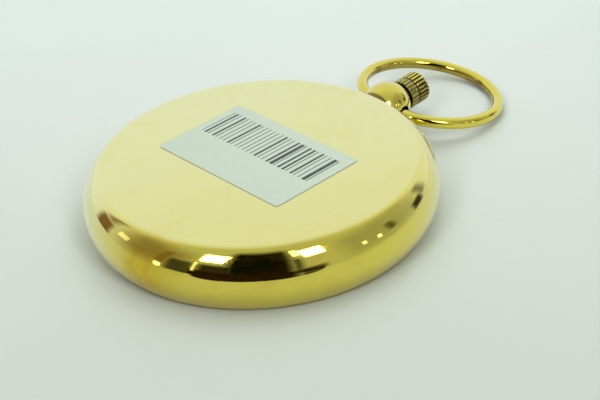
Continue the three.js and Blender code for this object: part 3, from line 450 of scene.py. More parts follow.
class Nodes:
    """A shader tree, and the ways in which the finishes add to it."""

    def __init__(self, tree):
        self.tree = tree

    def plug(self, socket, value):
        """Links a signal to a socket, or sets a constant on it."""
        if isinstance(value, Signal):
            self.tree.links.new(value.socket, socket)
        else:
            socket.default_value = (*value[:3], 1.0) if socket.type == "RGBA" else value

    def add(self, kind, inputs=None, output=0, **settings):
        """Adds a node and gives one of its outputs."""
        made = self.tree.nodes.new(kind)
        for name, value in settings.items():
            setattr(made, name, value)
        for socket, value in (inputs or {}).items():
            self.plug(made.inputs[socket], value)
        return Signal(self, made.outputs[output])

    def feed(self, **sockets):
        """Sets or links sockets of the finish's own shader."""
        shader = self.tree.nodes["Principled BSDF"]
        for socket, value in sockets.items():
            self.plug(shader.inputs[socket.replace("_", " ")], value)

    def place(self):
        """Object coordinates."""
        return self.add("ShaderNodeTexCoord", output="Object")

    def split(self, vector, kind="ShaderNodeSeparateXYZ"):
        """The three parts of a vector or a colour."""
        made = self.add(kind, {0: vector}).socket.node
        return [Signal(self, socket) for socket in made.outputs]

    def group(self, name, **inputs):
        """Places a node group."""
        made = self.tree.nodes.new("ShaderNodeGroup")
        made.node_tree = bpy.data.node_groups[name]
        for socket, value in inputs.items():
            self.plug(made.inputs[socket], value)
        return Signal(self, made.outputs[0])

    def blend(self, mask, first, second, **settings):
        """First colour where the mask is nought, and second where it is one."""
        return self.add("ShaderNodeMix", {0: mask, 6: first, 7: second}, 2, data_type="RGBA", **settings)

    def noise(self, vector, scale, detail, roughness, distortion=0.0):
        """A noise texture."""
        return self.add("ShaderNodeTexNoise", {"Vector": vector, "Scale": scale, "Detail": detail,
                                               "Roughness": roughness, "Distortion": distortion})

    def relief(self, height, distance, strength):
        """A bumped normal."""
        return self.add("ShaderNodeBump", {"Height": height, "Distance": distance, "Strength": strength})

    def laid(self, place, location, rotation):
        """Coordinates of a place that is moved and turned."""
        return self.add("ShaderNodeMapping", {"Vector": place, "Location": location, "Rotation": rotation},
                        vector_type="TEXTURE")

    def patch(self, place, centre, full, gone):
        """A soft round patch about a point."""
        reach = self.add("ShaderNodeVectorMath", {0: place, 1: centre}, "Value", operation="DISTANCE")
        return reach.ramp(full, gone, 1.0, 0.0)

    def towards(self, place, direction):
        """How far a place lies in a direction."""
        return self.add("ShaderNodeVectorMath", {0: place, 1: direction}, "Value", operation="DOT_PRODUCT")

    def see_through(self, mask, tint):
        """Lets light straight through where the mask is one."""
        clear = self.add("ShaderNodeBsdfTransparent", {"Color": tint})
        shader = Signal(self, self.tree.nodes["Principled BSDF"].outputs[0])
        both = self.add("ShaderNodeMixShader", {0: mask, 1: shader, 2: clear})
        self.plug(self.tree.nodes["Material Output"].inputs["Surface"], both)


def new_finish(name, **constants):
    """A new material's nodes, with constants on its shader's sockets."""
    material = bpy.data.materials.new(name)
    material.use_nodes = True
    nodes = Nodes(material.node_tree)
    nodes.feed(**constants)
    return nodes


def new_group(name, output, **inputs):
    """A new node group: its nodes, its inputs and the socket of its one output."""
    tree = bpy.data.node_groups.new(name, "ShaderNodeTree")
    for socket, value in inputs.items():
        kind = "NodeSocketVector" if isinstance(value, tuple) else "NodeSocketFloat"
        tree.interface.new_socket(name=socket, in_out="INPUT", socket_type=kind).default_value = value
    tree.interface.new_socket(name=output, in_out="OUTPUT", socket_type="NodeSocketFloat")
    nodes = Nodes(tree)
    given = tree.nodes.new("NodeGroupInput").outputs
    taken = [Signal(nodes, given[socket]) for socket in inputs]
    return nodes, taken, tree.nodes.new("NodeGroupOutput").inputs[0]


def make_smudges():
    """Soft patches that fingers and cloths leave."""
    nodes, (vector, scale), mask = new_group("Handling Smudges", "Mask", Vector=ORIGIN, Scale=60.0)
    broad = nodes.noise(vector, scale, 4.0, 0.62, 0.9)
    fine = nodes.noise(vector, scale * 7.0, 3.0, 0.7)
    nodes.plug(mask, broad.ramp(0.46, 0.74) * fine.ramp(0.25, 0.75, 0.45, 1.0))


def make_scratches():
    """Hairline scratches in two directions."""
    nodes, (vector, scale), mask = new_group("Hairline Scratches", "Mask", Vector=ORIGIN, Scale=240.0)
    lines = []
    for turn, stretch in ((0.5, 0.05), (-0.9, 0.035)):
        drawn = nodes.add("ShaderNodeMapping", {
            "Vector": vector, "Rotation": (0.3 * turn, 0.2, turn), "Scale": (1.0, stretch, 1.0)})
        off = (nodes.noise(drawn, scale, 2.0, 0.5) - 0.5).step("ABSOLUTE")
        lines.append(off.ramp(0.0, 0.012, 1.0, 0.0))
    nodes.plug(mask, lines[0].most(lines[1]))


def make_crevices():
    """Corners that a polishing cloth doesn't reach, found by ambient occlusion: tarnished there, and darkened as
    painted shade.
    """
    nodes, (distance, gain), mask = new_group("Crevice Tarnish And Shade", "Mask", Distance=0.001, Gain=1.0)
    opened = nodes.add("ShaderNodeAmbientOcclusion", {"Distance": distance}, "AO", samples=8)
    nodes.plug(mask, ((1.0 - opened) * gain).step("MINIMUM", 1.0))


def make_grain():
    """Fine grain of a cut or coated surface."""
    nodes, (vector, scale, stretch), value = new_group("Surface Grain", "Value", Vector=ORIGIN, Scale=900.0,
                                                       Stretch=(1.0, 1.0, 1.0))
    drawn = nodes.add("ShaderNodeVectorMath", {0: vector, 1: stretch}, operation="MULTIPLY")
    nodes.plug(value, nodes.noise(drawn, scale, 5.0, 0.65))


def toned(tint, *factors):
    """A colour with its parts multiplied."""
    return tuple(part * factor for part, factor in zip(tint, factors if len(factors) == 3 else 3 * factors))


def lacquered_brass(name, finish, tarnish_and_shade_mask, lacquer):
    """Polished brass under lacquer, with smudges, hairlines and stains; crevices and the given mask darkened, as
    tarnished brass and as painted shade; and a painted pale glare on the flat back and the wall's far sides.
    """
    nodes = new_finish(name, Metallic=1.0, Coat_Roughness=0.03, Coat_IOR=1.75)
    place = nodes.place()
    x, y, z = nodes.split(place)
    smudge = nodes.group("Handling Smudges", Vector=place, Scale=55.0)
    stain = nodes.group("Handling Smudges", Vector=place, Scale=24.0)
    scratch = nodes.group("Hairline Scratches", Vector=place, Scale=260.0)
    shut = nodes.group("Crevice Tarnish And Shade", Distance=1.1 * MM, Gain=1.1)
    swell = nodes.group("Surface Grain", Vector=place, Scale=70.0)
    across = x - y
    flat = z.ramp(BACK_Z - 0.5 * MM, BACK_Z - 0.03 * MM)
    # Painted glare: the flat back, most of all towards its far left, and the wall's far sides are painted pale,
    # standing in for bright reflection there; the flat back is also rougher.
    painted_back_glare = flat * across.ramp(-45.0 * MM, 45.0 * MM, 1.0, 0.62, smooth=False)
    pale = across.ramp(8.0 * MM, 46.0 * MM, 0.85, 0.0) * (x + y).ramp(-50.0 * MM, 50.0 * MM, 1.0, 0.5)
    sides = pale * y.ramp(35.0 * MM, 39.0 * MM, 1.0, 0.0)
    grip = nodes.patch(place, STAIN_PLACE, 3.0 * MM, 14.0 * MM) * smudge.ramp(0.0, 0.5, 0.6, 1.0)
    stained = nodes.blend((stain * 0.6).most(grip), finish.brass, finish.amber)
    metal = nodes.blend(painted_back_glare.most(sides), stained, finish.pale_brass)
    rubbed = nodes.blend(smudge * 0.22, metal, finish.brass)
    # Crevices and the given mask are darkened towards the brown: tarnished brass, and also painted shade.
    tarnish_and_shade = (shut * 0.75).most(tarnish_and_shade_mask(nodes, place))
    clean = painted_back_glare.ramp(0.0, 1.0, finish.gloss, finish.gloss + 0.12, smooth=False)
    nodes.feed(
        Base_Color=nodes.blend(tarnish_and_shade, rubbed, finish.tarnish),
        Roughness=clean + smudge * 0.05 + scratch * 0.05,
        Coat_Weight=grip.most(tarnish_and_shade).ramp(0.0, 1.0, lacquer, 0.25 * lacquer),
        Normal=nodes.relief(swell, 0.06 * MM, 0.35))


def mirror_brass(finish):
    """Brass of the case, its rings and the pendant, with a dark line of shade and reflection painted on the left,
    where the ball meets the wall.
    """
    # Painted shade and reflection: a dark line on the left where the ball meets the wall.
    def browned(nodes, place):
        x, y, _ = nodes.split(place)
        near = y.ramp(39.0 * MM, 39.6 * MM) * y.ramp(CASE_RADIUS, CASE_RADIUS + 0.5 * MM, 0.9, 0.0)
        left = x.ramp(2.4 * MM, 4.0 * MM, 1.0, 0.0)
        return near * left * nodes.patch(place, PENDANT_ROOT, 6.3 * MM, 7.5 * MM)

    lacquered_brass("mirror_brass", finish, browned, 1.0)


def bow_brass(finish, bow):
    """Brass of the bow, with a brown streak along the inside and underside of the wire: tarnished brass, and also
    painted shade and dark reflection.
    """
    hang, centre = bow_place(bow)

    # Darker along the wire's inner, lower side: tarnished brass, and also painted shade.
    def streaked(nodes, place):
        laid = nodes.laid(place, hang @ Vector((0.0, centre, 0.0)), hang.to_euler())
        x, y, z = nodes.split(laid)
        level = nodes.add("ShaderNodeCombineXYZ", {"X": x, "Y": y})
        reach = nodes.add("ShaderNodeVectorMath", {0: level}, "Value", operation="LENGTH")
        streak = ((bow.radius - reach) * 0.8 - z * 0.6).ramp(0.14 * bow.wire, 0.34 * bow.wire)
        patchy = nodes.group("Handling Smudges", Vector=place, Scale=110.0)
        return streak * patchy.ramp(0.0, 0.6, 0.65, 0.95)

    lacquered_brass("bow_brass", finish, streaked, finish.bow_lacquer)


def fluted_brass(finish, crown):
    """Brass with dirt and painted shade in the flute roots and crevices, tarnished on the inner band, painted
    darker underneath as shade, and with paler lands that are worn by fingers and also a painted highlight.
    """
    nodes = new_finish("fluted_brass", Metallic=1.0, Coat_Weight=0.2, Coat_Roughness=0.1)
    place = nodes.place()
    x, y, z = nodes.split(place)
    grain = nodes.group("Surface Grain", Vector=place, Scale=1500.0)
    smudge = nodes.group("Handling Smudges", Vector=place, Scale=260.0)
    shut = nodes.group("Crevice Tarnish And Shade", Distance=0.7 * MM, Gain=1.2)
    reach = (x.step("POWER", 2.0) + (z - STEM_Z).step("POWER", 2.0)).step("SQRT")
    # Dirt and painted shade: the flute roots at the outer end, the crevices and smudges go near-black.
    side = y.ramp(CROWN_HIGH.y - 0.15 * MM, CROWN_HIGH.y - 0.03 * MM, 1.0, 0.0)
    root = side * reach.ramp(CROWN_RADIUS - 0.22 * MM, CROWN_RADIUS - 0.04 * MM, 1.0, 0.0)
    dirt_and_shade = root.most(shut).most(smudge * 0.35)
    band_end = CROWN_LOW.y + crown.inner_band
    band = y.ramp(band_end, band_end + crown.groove, 0.5, 0.0)
    # The inner band is tarnished; the lower half is painted darker, as shade and dark reflection.
    tarnish_and_shade = band.most(z.ramp(STEM_Z + 0.2 * MM, STEM_Z + 3.0 * MM, 0.7, 0.0))
    # The lands are paler than the brass: wear from fingers, and also a painted highlight.
    rubbed = tuple(0.75 * part + 0.25 * pale for part, pale in zip(finish.brass, finish.pale_brass))
    lands = nodes.blend(tarnish_and_shade, rubbed, finish.tarnish)
    nodes.feed(
        Base_Color=nodes.blend(dirt_and_shade, lands, finish.soil),
        Roughness=dirt_and_shade.most(tarnish_and_shade).ramp(0.0, 1.0, 0.08, 0.4),
        Normal=nodes.relief(grain, 0.03 * MM, 0.4))


def turned_brass(finish):
    """Plain brass as it leaves the lathe."""
    nodes = new_finish("turned_brass", Metallic=1.0)
    place = nodes.place()
    grain = nodes.group("Surface Grain", Vector=place, Scale=1200.0, Stretch=(1.0, 1.0, 6.0))
    smudge = nodes.group("Handling Smudges", Vector=place, Scale=120.0)
    nodes.feed(
        Base_Color=nodes.blend(smudge * 0.6, finish.plain_brass, toned(finish.plain_brass, 0.62)),
        Roughness=grain.ramp(0.3, 0.7, 0.2, 0.36),
        Normal=nodes.relief(grain, 0.02 * MM, 0.4))


def cut_steel(finish):
    """Bright steel with a fine cut."""
    nodes = new_finish("cut_steel", Metallic=1.0)
    grain = nodes.group("Surface Grain", Vector=nodes.place(), Scale=1600.0, Stretch=(1.0, 5.0, 1.0))
    nodes.feed(
        Base_Color=nodes.blend(grain.ramp(0.3, 0.7), toned(finish.steel, 0.72), finish.steel),
        Roughness=grain.ramp(0.3, 0.7, 0.18, 0.34),
        Normal=nodes.relief(grain, 0.015 * MM, 0.4))


def clear_glass(finish):
    """Clear glass that lets lamps light the dial."""
    nodes = new_finish("clear_glass", Base_Color=finish.glass, IOR=1.5, Transmission_Weight=1.0)
    smudge = nodes.group("Handling Smudges", Vector=nodes.place(), Scale=80.0)
    nodes.feed(Roughness=smudge.ramp(0.0, 1.0, 0.005, 0.03))
    shadow, diffuse = (nodes.add("ShaderNodeLightPath", output=ray)
                       for ray in ("Is Shadow Ray", "Is Diffuse Ray"))
    nodes.see_through(shadow.most(diffuse), (0.9, 0.93, 0.91))


def white_enamel(finish):
    """Fired white enamel, a little uneven."""
    nodes = new_finish("white_enamel", Coat_Weight=0.3, Coat_Roughness=0.12)
    place = nodes.place()
    cloud = nodes.group("Handling Smudges", Vector=place, Scale=45.0)
    grain = nodes.group("Surface Grain", Vector=place, Scale=700.0)
    nodes.feed(
        Base_Color=nodes.blend(cloud * 0.5, finish.enamel, toned(finish.enamel, 0.96, 0.93, 0.86)),
        Roughness=grain.ramp(0.3, 0.7, 0.3, 0.42),
        Normal=nodes.relief(grain, 0.02 * MM, 0.3))


def dial_ink(finish):
    """Black print with a slight bloom."""
    nodes = new_finish("dial_ink")
    grain = nodes.group("Surface Grain", Vector=nodes.place(), Scale=2500.0)
    worn = tuple(part + 0.03 for part in finish.ink)
    nodes.feed(
        Base_Color=nodes.blend(grain.ramp(0.45, 0.75), finish.ink, worn),
        Roughness=grain.ramp(0.3, 0.7, 0.45, 0.65))


def needle_lacquer(finish):
    """Lacquer that changes colour at the needle's middle."""
    nodes = new_finish("needle_lacquer", Coat_Weight=0.6, Coat_Roughness=0.08)
    place = nodes.place()
    grain = nodes.group("Surface Grain", Vector=place, Scale=600.0)
    half = nodes.split(place)[1].ramp(-0.02 * MM, 0.02 * MM)
    paint = nodes.blend(half, finish.south, finish.north)
    nodes.feed(
        Base_Color=nodes.blend(grain.ramp(0.5, 0.9, 0.0, 0.25), paint, (0.3, 0.3, 0.3)),
        Roughness=grain.ramp(0.3, 0.7, 0.22, 0.34))


def agate_stone(finish):
    """Banded polished stone."""
    nodes = new_finish("agate_stone", Coat_Weight=0.5)
    bands = nodes.add("ShaderNodeTexWave", {
        "Vector": nodes.place(), "Scale": 900.0, "Distortion": 4.0, "Detail": 3.0}, 1)
    pale = tuple(min(1.0, 1.5 * part + 0.05) for part in finish.agate)
    nodes.feed(
        Base_Color=nodes.blend(bands, finish.agate, pale),
        Roughness=bands.ramp(0.0, 1.0, 0.08, 0.16))


# Printed bars, in widths of the narrowest: pitch of a pair, place of its second bar, and the narrowest drawn
BAR_PITCH = 7.0
BAR_PLACE = 3.7
BAR_LEAST = 0.7


def bar_width(chance):
    """Width of a printed bar, up to about three times the narrowest, and narrow more often than wide."""
    return (chance.step("POWER", 2.0) * 2.99).step("FLOOR") + BAR_LEAST


def coated_paper(finish, label):
    """Coated label paper with a field of plain printed bars."""
    nodes = new_finish("coated_paper", IOR=1.45)
    place = nodes.place()
    grain = nodes.group("Surface Grain", Vector=place, Scale=1800.0)
    x, y, _ = nodes.split(nodes.laid(place, (*label.centre, 0.0), (0.0, 0.0, label.turn)))
    along = x.step("DIVIDE", BAR_PITCH * label.module)
    chance = nodes.add("ShaderNodeTexWhiteNoise", {"W": along.step("FLOOR")}, "Color", noise_dimensions="1D")
    first_chance, second_chance, _ = nodes.split(chance, "ShaderNodeSeparateColor")
    spot = along.step("FRACT") * BAR_PITCH
    later = spot - BAR_PLACE
    first = spot.step("LESS_THAN", bar_width(first_chance))
    second = later.step("GREATER_THAN", 0.0) * later.step("LESS_THAN", bar_width(second_chance))
    tall = y.step("LESS_THAN", label.field_top) * y.step("GREATER_THAN", label.field_foot)
    field = x.step("ABSOLUTE").step("LESS_THAN", label.field) * tall
    printed = first.most(second) * field * grain.ramp(0.25, 0.75, 1.0, 0.85)
    sheet = nodes.blend(grain.ramp(0.3, 0.7), toned(finish.paper, 0.95), finish.paper)
    nodes.feed(
        Base_Color=nodes.blend(printed, sheet, finish.bars),
        Roughness=grain.ramp(0.3, 0.7, 0.42, 0.55),
        Normal=nodes.relief(grain, 0.02 * MM, 0.3))


CAD_FINISHES = {
    "polished_brass": "mirror_brass",
    "plain_brass": "turned_brass",
    "bright_steel": "cut_steel",
    "crystal_glass": "clear_glass",
    "dial_enamel": "white_enamel",
    "needle_paint": "needle_lacquer",
    "agate": "agate_stone",
    "label_paper": "coated_paper",
}


class COMPASS_OT_finishes(Operator):
    """Makes the finishes and gives them to the pieces of the frame"""
    bl_idname = "compass.finishes"
    bl_label = "Make Finishes"

    def execute(self, context):
        props = properties(context)
        for make in (make_smudges, make_scratches, make_crevices, make_grain):
            make()
        for make in (mirror_brass, turned_brass, cut_steel, clear_glass, white_enamel, dial_ink,
                     needle_lacquer, agate_stone):
            make(props.finish)
        fluted_brass(props.finish, props.crown)
        bow_brass(props.finish, props.bow)
        coated_paper(props.finish, props.label)
        for part in frame["record"]["subparts"]:
            finish = bpy.data.materials[CAD_FINISHES[part["material_slot"]]]
            for slot in frame["nodes"][part["node"]].material_slots:
                slot.material = finish
        return {"FINISHED"}


# Case, bezel and glass


def wall_arcs(case):
    """The wall from rim to flat back: its widest height, its two arcs' radii and the upper one's angle."""
    bulge_z = FLOOR_Z + case.bulge_height
    lower = (case.rim_tuck ** 2 + case.bulge_height ** 2) / (2.0 * case.rim_tuck)
    climb = BACK_Z - case.corner_radius - bulge_z
    upper = (case.back_inset ** 2 + climb ** 2 - case.corner_radius ** 2) / (
        2.0 * (case.back_inset - case.corner_radius))
    lean = math.atan2(climb, upper - case.back_inset)
    return bulge_z, lower, upper, lean


def wall_radius(case, height, inset=0.0):
    """Radius of the lower wall at a height."""
    bulge_z, lower, _, _ = wall_arcs(case)
    return case.radius - lower + math.sqrt((lower - inset) ** 2 - (height - bulge_z) ** 2)


def draw_wall(pen, case, start, inset=0.0):
    """Draws the wall upwards from a height, and on to the axis."""
    bulge_z, lower, upper, lean = wall_arcs(case)
    pen.line(wall_radius(case, start, inset), start)
    pen.arc(case.radius - lower, bulge_z, math.asin((bulge_z - start) / (lower - inset)), 20)
    pen.tip.co.x = case.radius - inset
    pen.arc(case.radius - upper, bulge_z, lean, 24)
    pen.arc(case.radius - case.back_inset, BACK_Z - case.corner_radius, QUARTER_TURN - lean, 14)
    return pen.line(0.0, BACK_Z - inset)


def turned_rod(radius, start, end, segments):
    """A round rod along Z."""
    return Section(0.0, start).line(radius, start).line(radius, end).line(0.0, end).spin(segments)


def turned_ring(inner, outer, start, end, edge, segments):
    """A flat ring with rounded edges."""
    pen = Section(inner + edge, start).line(outer - edge, start)
    pen.arc(outer - edge, start + edge, QUARTER_TURN, 5).line(outer, end - edge)
    pen.arc(outer - edge, end - edge, QUARTER_TURN, 5).line(inner + edge, end)
    pen.arc(inner + edge, end - edge, QUARTER_TURN, 5).line(inner, start + edge)
    return pen.arc(inner + edge, start + edge, QUARTER_TURN, 5).spin(segments)


class COMPASS_OT_case(Operator):
    """Spins the case's shell, with the hole for the pendant's tail"""
    bl_idname = "compass.case"
    bl_label = "Spin Case"

    def execute(self, context):
        props = properties(context)
        case, pendant = props.case, props.pendant
        land = MOUTH_Z + case.mouth_depth
        pen = Section(case.mouth_radius, land)
        draw_wall(pen, case, land + case.mouth_slope, case.wall)
        pen.tip, pen.start = pen.start, pen.tip
        pen.line(case.mouth_radius, MOUTH_Z)
        draw_wall(pen, case, MOUTH_Z)
        shell = mesh_object("case_shell", pen.spin(case.segments))
        tail = turned_rod(pendant.tail_radius + pendant.tail_gap, low("pendant").y - case.wall,
                          pendant.ball_y, pendant.segments)
        carve(shell, mesh_object("tail_hole", along_stem(tail)))
        dress(shell, "case", ["back_case"], "mirror_brass")
        return {"FINISHED"}


class COMPASS_OT_bezel(Operator):
    """Turns the bezel, the ring behind the glass and the degree ring"""
    bl_idname = "compass.bezel"
    bl_label = "Turn Bezel and Rings"

    def execute(self, context):
        case = properties(context).case
        top, skirt_end = MOUTH_Z - case.seam, high("bezel").z
        slope = case.glass_bevel / (high("crystal").x - case.glass_flat)
        seat, lip = (slope * (radius - case.glass_flat - case.bevel_gap)
                     for radius in (case.skirt_bore, case.lip_radius))
        rim = wall_radius(case, FLOOR_Z + case.rim_edge) - case.rim_edge
        soft = case.glass_edge
        pen = Section(case.lip_radius + soft, FLOOR_Z).line(rim, FLOOR_Z)
        pen.arc(rim, FLOOR_Z + case.rim_edge, QUARTER_TURN, 8)
        pen.line(wall_radius(case, top), top).line(case.skirt_radius, top).line(case.skirt_radius, skirt_end)
        pen.line(case.skirt_bore, skirt_end).line(case.skirt_bore, seat).line(case.lip_radius, lip)
        pen.line(case.lip_radius, FLOOR_Z + soft).arc(case.lip_radius + soft, FLOOR_Z + soft, QUARTER_TURN, 4)
        bezel = mesh_object("bezel_ring", pen.spin(case.segments))
        dress(bezel, "case", ["bezel"], "mirror_brass")
        for name, node, width, edge, slot in (
                ("glass_ring", "crystal_ring", case.ring_width, case.ring_edge, "polished_brass"),
                ("scale_ring", "degree_ring", case.scale_width, case.scale_edge, "dial_enamel")):
            outer = high(node).x
            ring = turned_ring(outer - width, outer, low(node).z, high(node).z, edge, case.segments)
            dress(mesh_object(name, ring), "case", [node], CAD_FINISHES[slot])
        return {"FINISHED"}


class COMPASS_OT_glass(Operator):
    """Grinds the bevelled glass"""
    bl_idname = "compass.glass"
    bl_label = "Grind Glass"

    def execute(self, context):
        case = properties(context).case
        face, back, outer, edge = low("crystal").z, high("crystal").z, high("crystal").x, case.glass_edge
        pen = Section(0.0, face).line(case.glass_flat, face).line(outer, face + case.glass_bevel)
        pen.line(outer, back - edge).arc(outer - edge, back - edge, QUARTER_TURN, 4).line(0.0, back)
        dress(mesh_object("glass_disc", pen.spin(case.segments)), "case", ["crystal"],
              "clear_glass", crease=15.0)
        return {"FINISHED"}


# Pendant, crown, spring and bow


class COMPASS_OT_pendant(Operator):
    """Turns the ball pendant, fits it to the wall and drills it for the bow"""
    bl_idname = "compass.pendant"
    bl_label = "Turn Pendant"

    def execute(self, context):
        props = properties(context)
        case, ball = props.case, props.pendant
        tail, end = low("pendant").y, high("pendant").y
        start = math.acos((tail - ball.ball_y) / ball.ball_half)
        finish = math.asin(ball.mouth_radius / ball.ball_radius)
        pen = Section(ball.bore, tail)
        steps = 40
        for step in range(steps + 1):
            turn = start + (finish - start) * step / steps
            pen.line(ball.ball_radius * math.sin(turn), ball.ball_y + ball.ball_half * math.cos(turn))
        pen.line(ball.mouth_radius - ball.mouth_edge, end)
        pen.line(ball.bore + ball.mouth_edge, end).line(ball.bore, end - ball.mouth_edge)
        piece = mesh_object("pendant_ball", along_stem(pen.close().spin(ball.segments)))
        under = FLOOR_Z - case.wall
        seat = mesh_object("seat_cutter", draw_wall(Section(0.0, under), case, under, -ball.seat_gap).spin(
            4 * case.segments))
        kept = turned_rod(ball.tail_radius, 0.0, ball.ball_y, ball.segments)
        carve(seat, mesh_object("tail_keeper", along_stem(kept)))
        holes = []
        for side in (-1.0, 1.0):
            drill = turned_rod(ball.hole_radius, ball.hole_depth, 2.0 * ball.ball_radius, 64)
            place = tilted_hinge() @ Matrix.Rotation(side * QUARTER_TURN, 4, "Y")
            bmesh.ops.transform(drill, matrix=place, verts=drill.verts[:])
            bmesh.ops.translate(drill, vec=(0.0, ball.hole_shift, 0.0), verts=drill.verts[:])
            holes.append(mesh_object("bow_drill", drill))
        carve(piece, seat, *holes)
        dress(piece, "case", ["pendant"], "mirror_brass")
        return {"FINISHED"}


def crown_stations(crown):
    """Outline of the crown from its inner face to its outer one: place along it, radius and flute depth."""
    radius, long = CROWN_RADIUS, CROWN_HIGH.y - CROWN_LOW.y
    edge, end, ease = crown.inner_edge, crown.end_radius, crown.groove_edge
    near, far = crown.inner_band, crown.inner_band + crown.groove
    inner = [(edge - edge * math.cos(turn), radius - edge + edge * math.sin(turn), crown.fine_depth)
             for turn in (QUARTER_TURN * step / 4 for step in range(5))]
    groove = [(near - ease, radius, crown.fine_depth), (near, radius - ease, 0.5 * crown.fine_depth),
              (near + 0.2 * ease, radius - crown.groove_depth, 0.0),
              (far - 0.2 * ease, radius - crown.groove_depth, 0.0),
              (far, radius - ease, 0.8 * crown.near_depth), (far + ease, radius, crown.near_depth)]
    outer = [(long - end + end * math.sin(turn), radius - end + end * math.cos(turn), crown.far_depth)
             for turn in (QUARTER_TURN * step / 8 for step in range(9))]
    return inner + groove + outer


def flute(turn, teeth, part):
    """Depth of a round-bottomed flute round the crown, from nought on a land to one in its middle."""
    place = abs((turn * teeth / FULL_TURN) % 1.0 - 0.5) / (0.5 * part)
    return math.sqrt(1.0 - place ** 2) if place < 1.0 else 0.0


class COMPASS_OT_crown(Operator):
    """Cuts the crown with its two fluted bands and the recess for its spring"""
    bl_idname = "compass.crown"
    bl_label = "Cut Crown"

    def execute(self, context):
        crown = properties(context).crown
        bm = bmesh.new()
        rim = bmesh.ops.create_circle(bm, segments=20 * crown.flutes, radius=crown.seat_radius)["verts"]
        bmesh.ops.translate(bm, vec=(0.0, 0.0, crown.recess_depth + crown.seat_depth), verts=rim)
        bmesh.ops.contextual_create(bm, geom=rim)
        ring = rim_edges(rim)
        recess = [(crown.recess_depth, crown.seat_radius, 0.0),
                  (crown.recess_depth, crown.recess_radius, 0.0),
                  (crown.recess_lip, crown.recess_radius, 0.0),
                  (0.0, crown.recess_radius + crown.recess_lip, 0.0)]
        end = [(CROWN_HIGH.y - CROWN_LOW.y, crown.end_flat, 0.0)]
        for place, size, depth in recess + crown_stations(crown) + end:
            grown = bmesh.ops.extrude_edge_only(bm, edges=ring)["geom"]
            ring = edges_of(grown)
            for vert in verts_of(grown):
                turn = math.atan2(vert.co.y, vert.co.x)
                reach = size - depth * flute(turn, crown.flutes, crown.flute_share)
                vert.co = (reach * math.cos(turn), reach * math.sin(turn), place)
        corners = dict.fromkeys(vert for edge in ring for vert in edge.verts)
        bmesh.ops.contextual_create(bm, geom=list(corners))
        welded(bm)
        bmesh.ops.translate(bm, vec=(0.0, 0.0, CROWN_LOW.y), verts=bm.verts[:])
        dress(mesh_object("crown_knob", along_stem(bm)), "crown", ["crown"], "fluted_brass",
              crease=50.0)
        return {"FINISHED"}


class COMPASS_OT_spring(Operator):
    """Coils the spring behind the crown"""
    bl_idname = "compass.spring"
    bl_label = "Coil Spring"

    def execute(self, context):
        crown = properties(context).crown
        start, end = low("crown_spring"), high("crown_spring")
        long, thick, turns = end.y - start.y, crown.spring_wire, crown.spring_turns
        steps = 32 * turns
        bm = bmesh.new()
        place = Matrix.Translation((end.x - 0.5 * thick, 0.0, start.y + 0.5 * thick))
        rim = bmesh.ops.create_circle(bm, segments=12, radius=0.5 * thick,
                                      matrix=place @ Matrix.Rotation(QUARTER_TURN, 4, "X"))["verts"]
        bmesh.ops.spin(bm, geom=rim + rim_edges(rim), cent=ORIGIN, axis=UPWARDS, steps=steps,
                       angle=turns * FULL_TURN, dvec=(0.0, 0.0, (long - thick) / steps))
        bmesh.ops.holes_fill(bm, edges=[edge for edge in bm.edges if edge.is_boundary], sides=0)
        spring = mesh_object("coil_spring", along_stem(welded(bm)))
        dress(spring, "case", ["crown_spring"], "cut_steel")
        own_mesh(spring)
        return {"FINISHED"}


def tilted_hinge():
    """The bow's hinge, with X along its tilted axis."""
    lean = math.asin(-BOW_AXIS.z)
    yaw = math.atan2(-BOW_AXIS.y, BOW_AXIS.x)
    return Matrix.Translation(BOW_HINGE) @ Matrix.Rotation(-yaw, 4, "Z") @ Matrix.Rotation(lean, 4, "Y")


def bow_dip(bow, centre, lean):
    """How far the bow falls round its hinge until it all but meets the floor."""
    drop = STEM_Z - 0.5 * bow.wire - FLOOR_Z - bow.floor_gap - bow.slide * math.sin(lean)
    spare = bow.radius ** 2 - centre ** 2
    half = drop * centre
    root = math.sqrt(half ** 2 - spare * ((bow.radius * math.sin(lean)) ** 2 - drop ** 2))
    return math.asin((root - half) / spare / math.cos(lean))


def bow_place(bow):
    """How the bow hangs at rest, and the distance of its middle from its hinge."""
    centre = math.sqrt(bow.radius ** 2 - bow.mouth ** 2)
    fall = Matrix.Rotation(-bow_dip(bow, centre, math.asin(-BOW_AXIS.z)), 4, "X")
    return tilted_hinge() @ fall @ Matrix.Translation((bow.slide, 0.0, 0.0)), centre


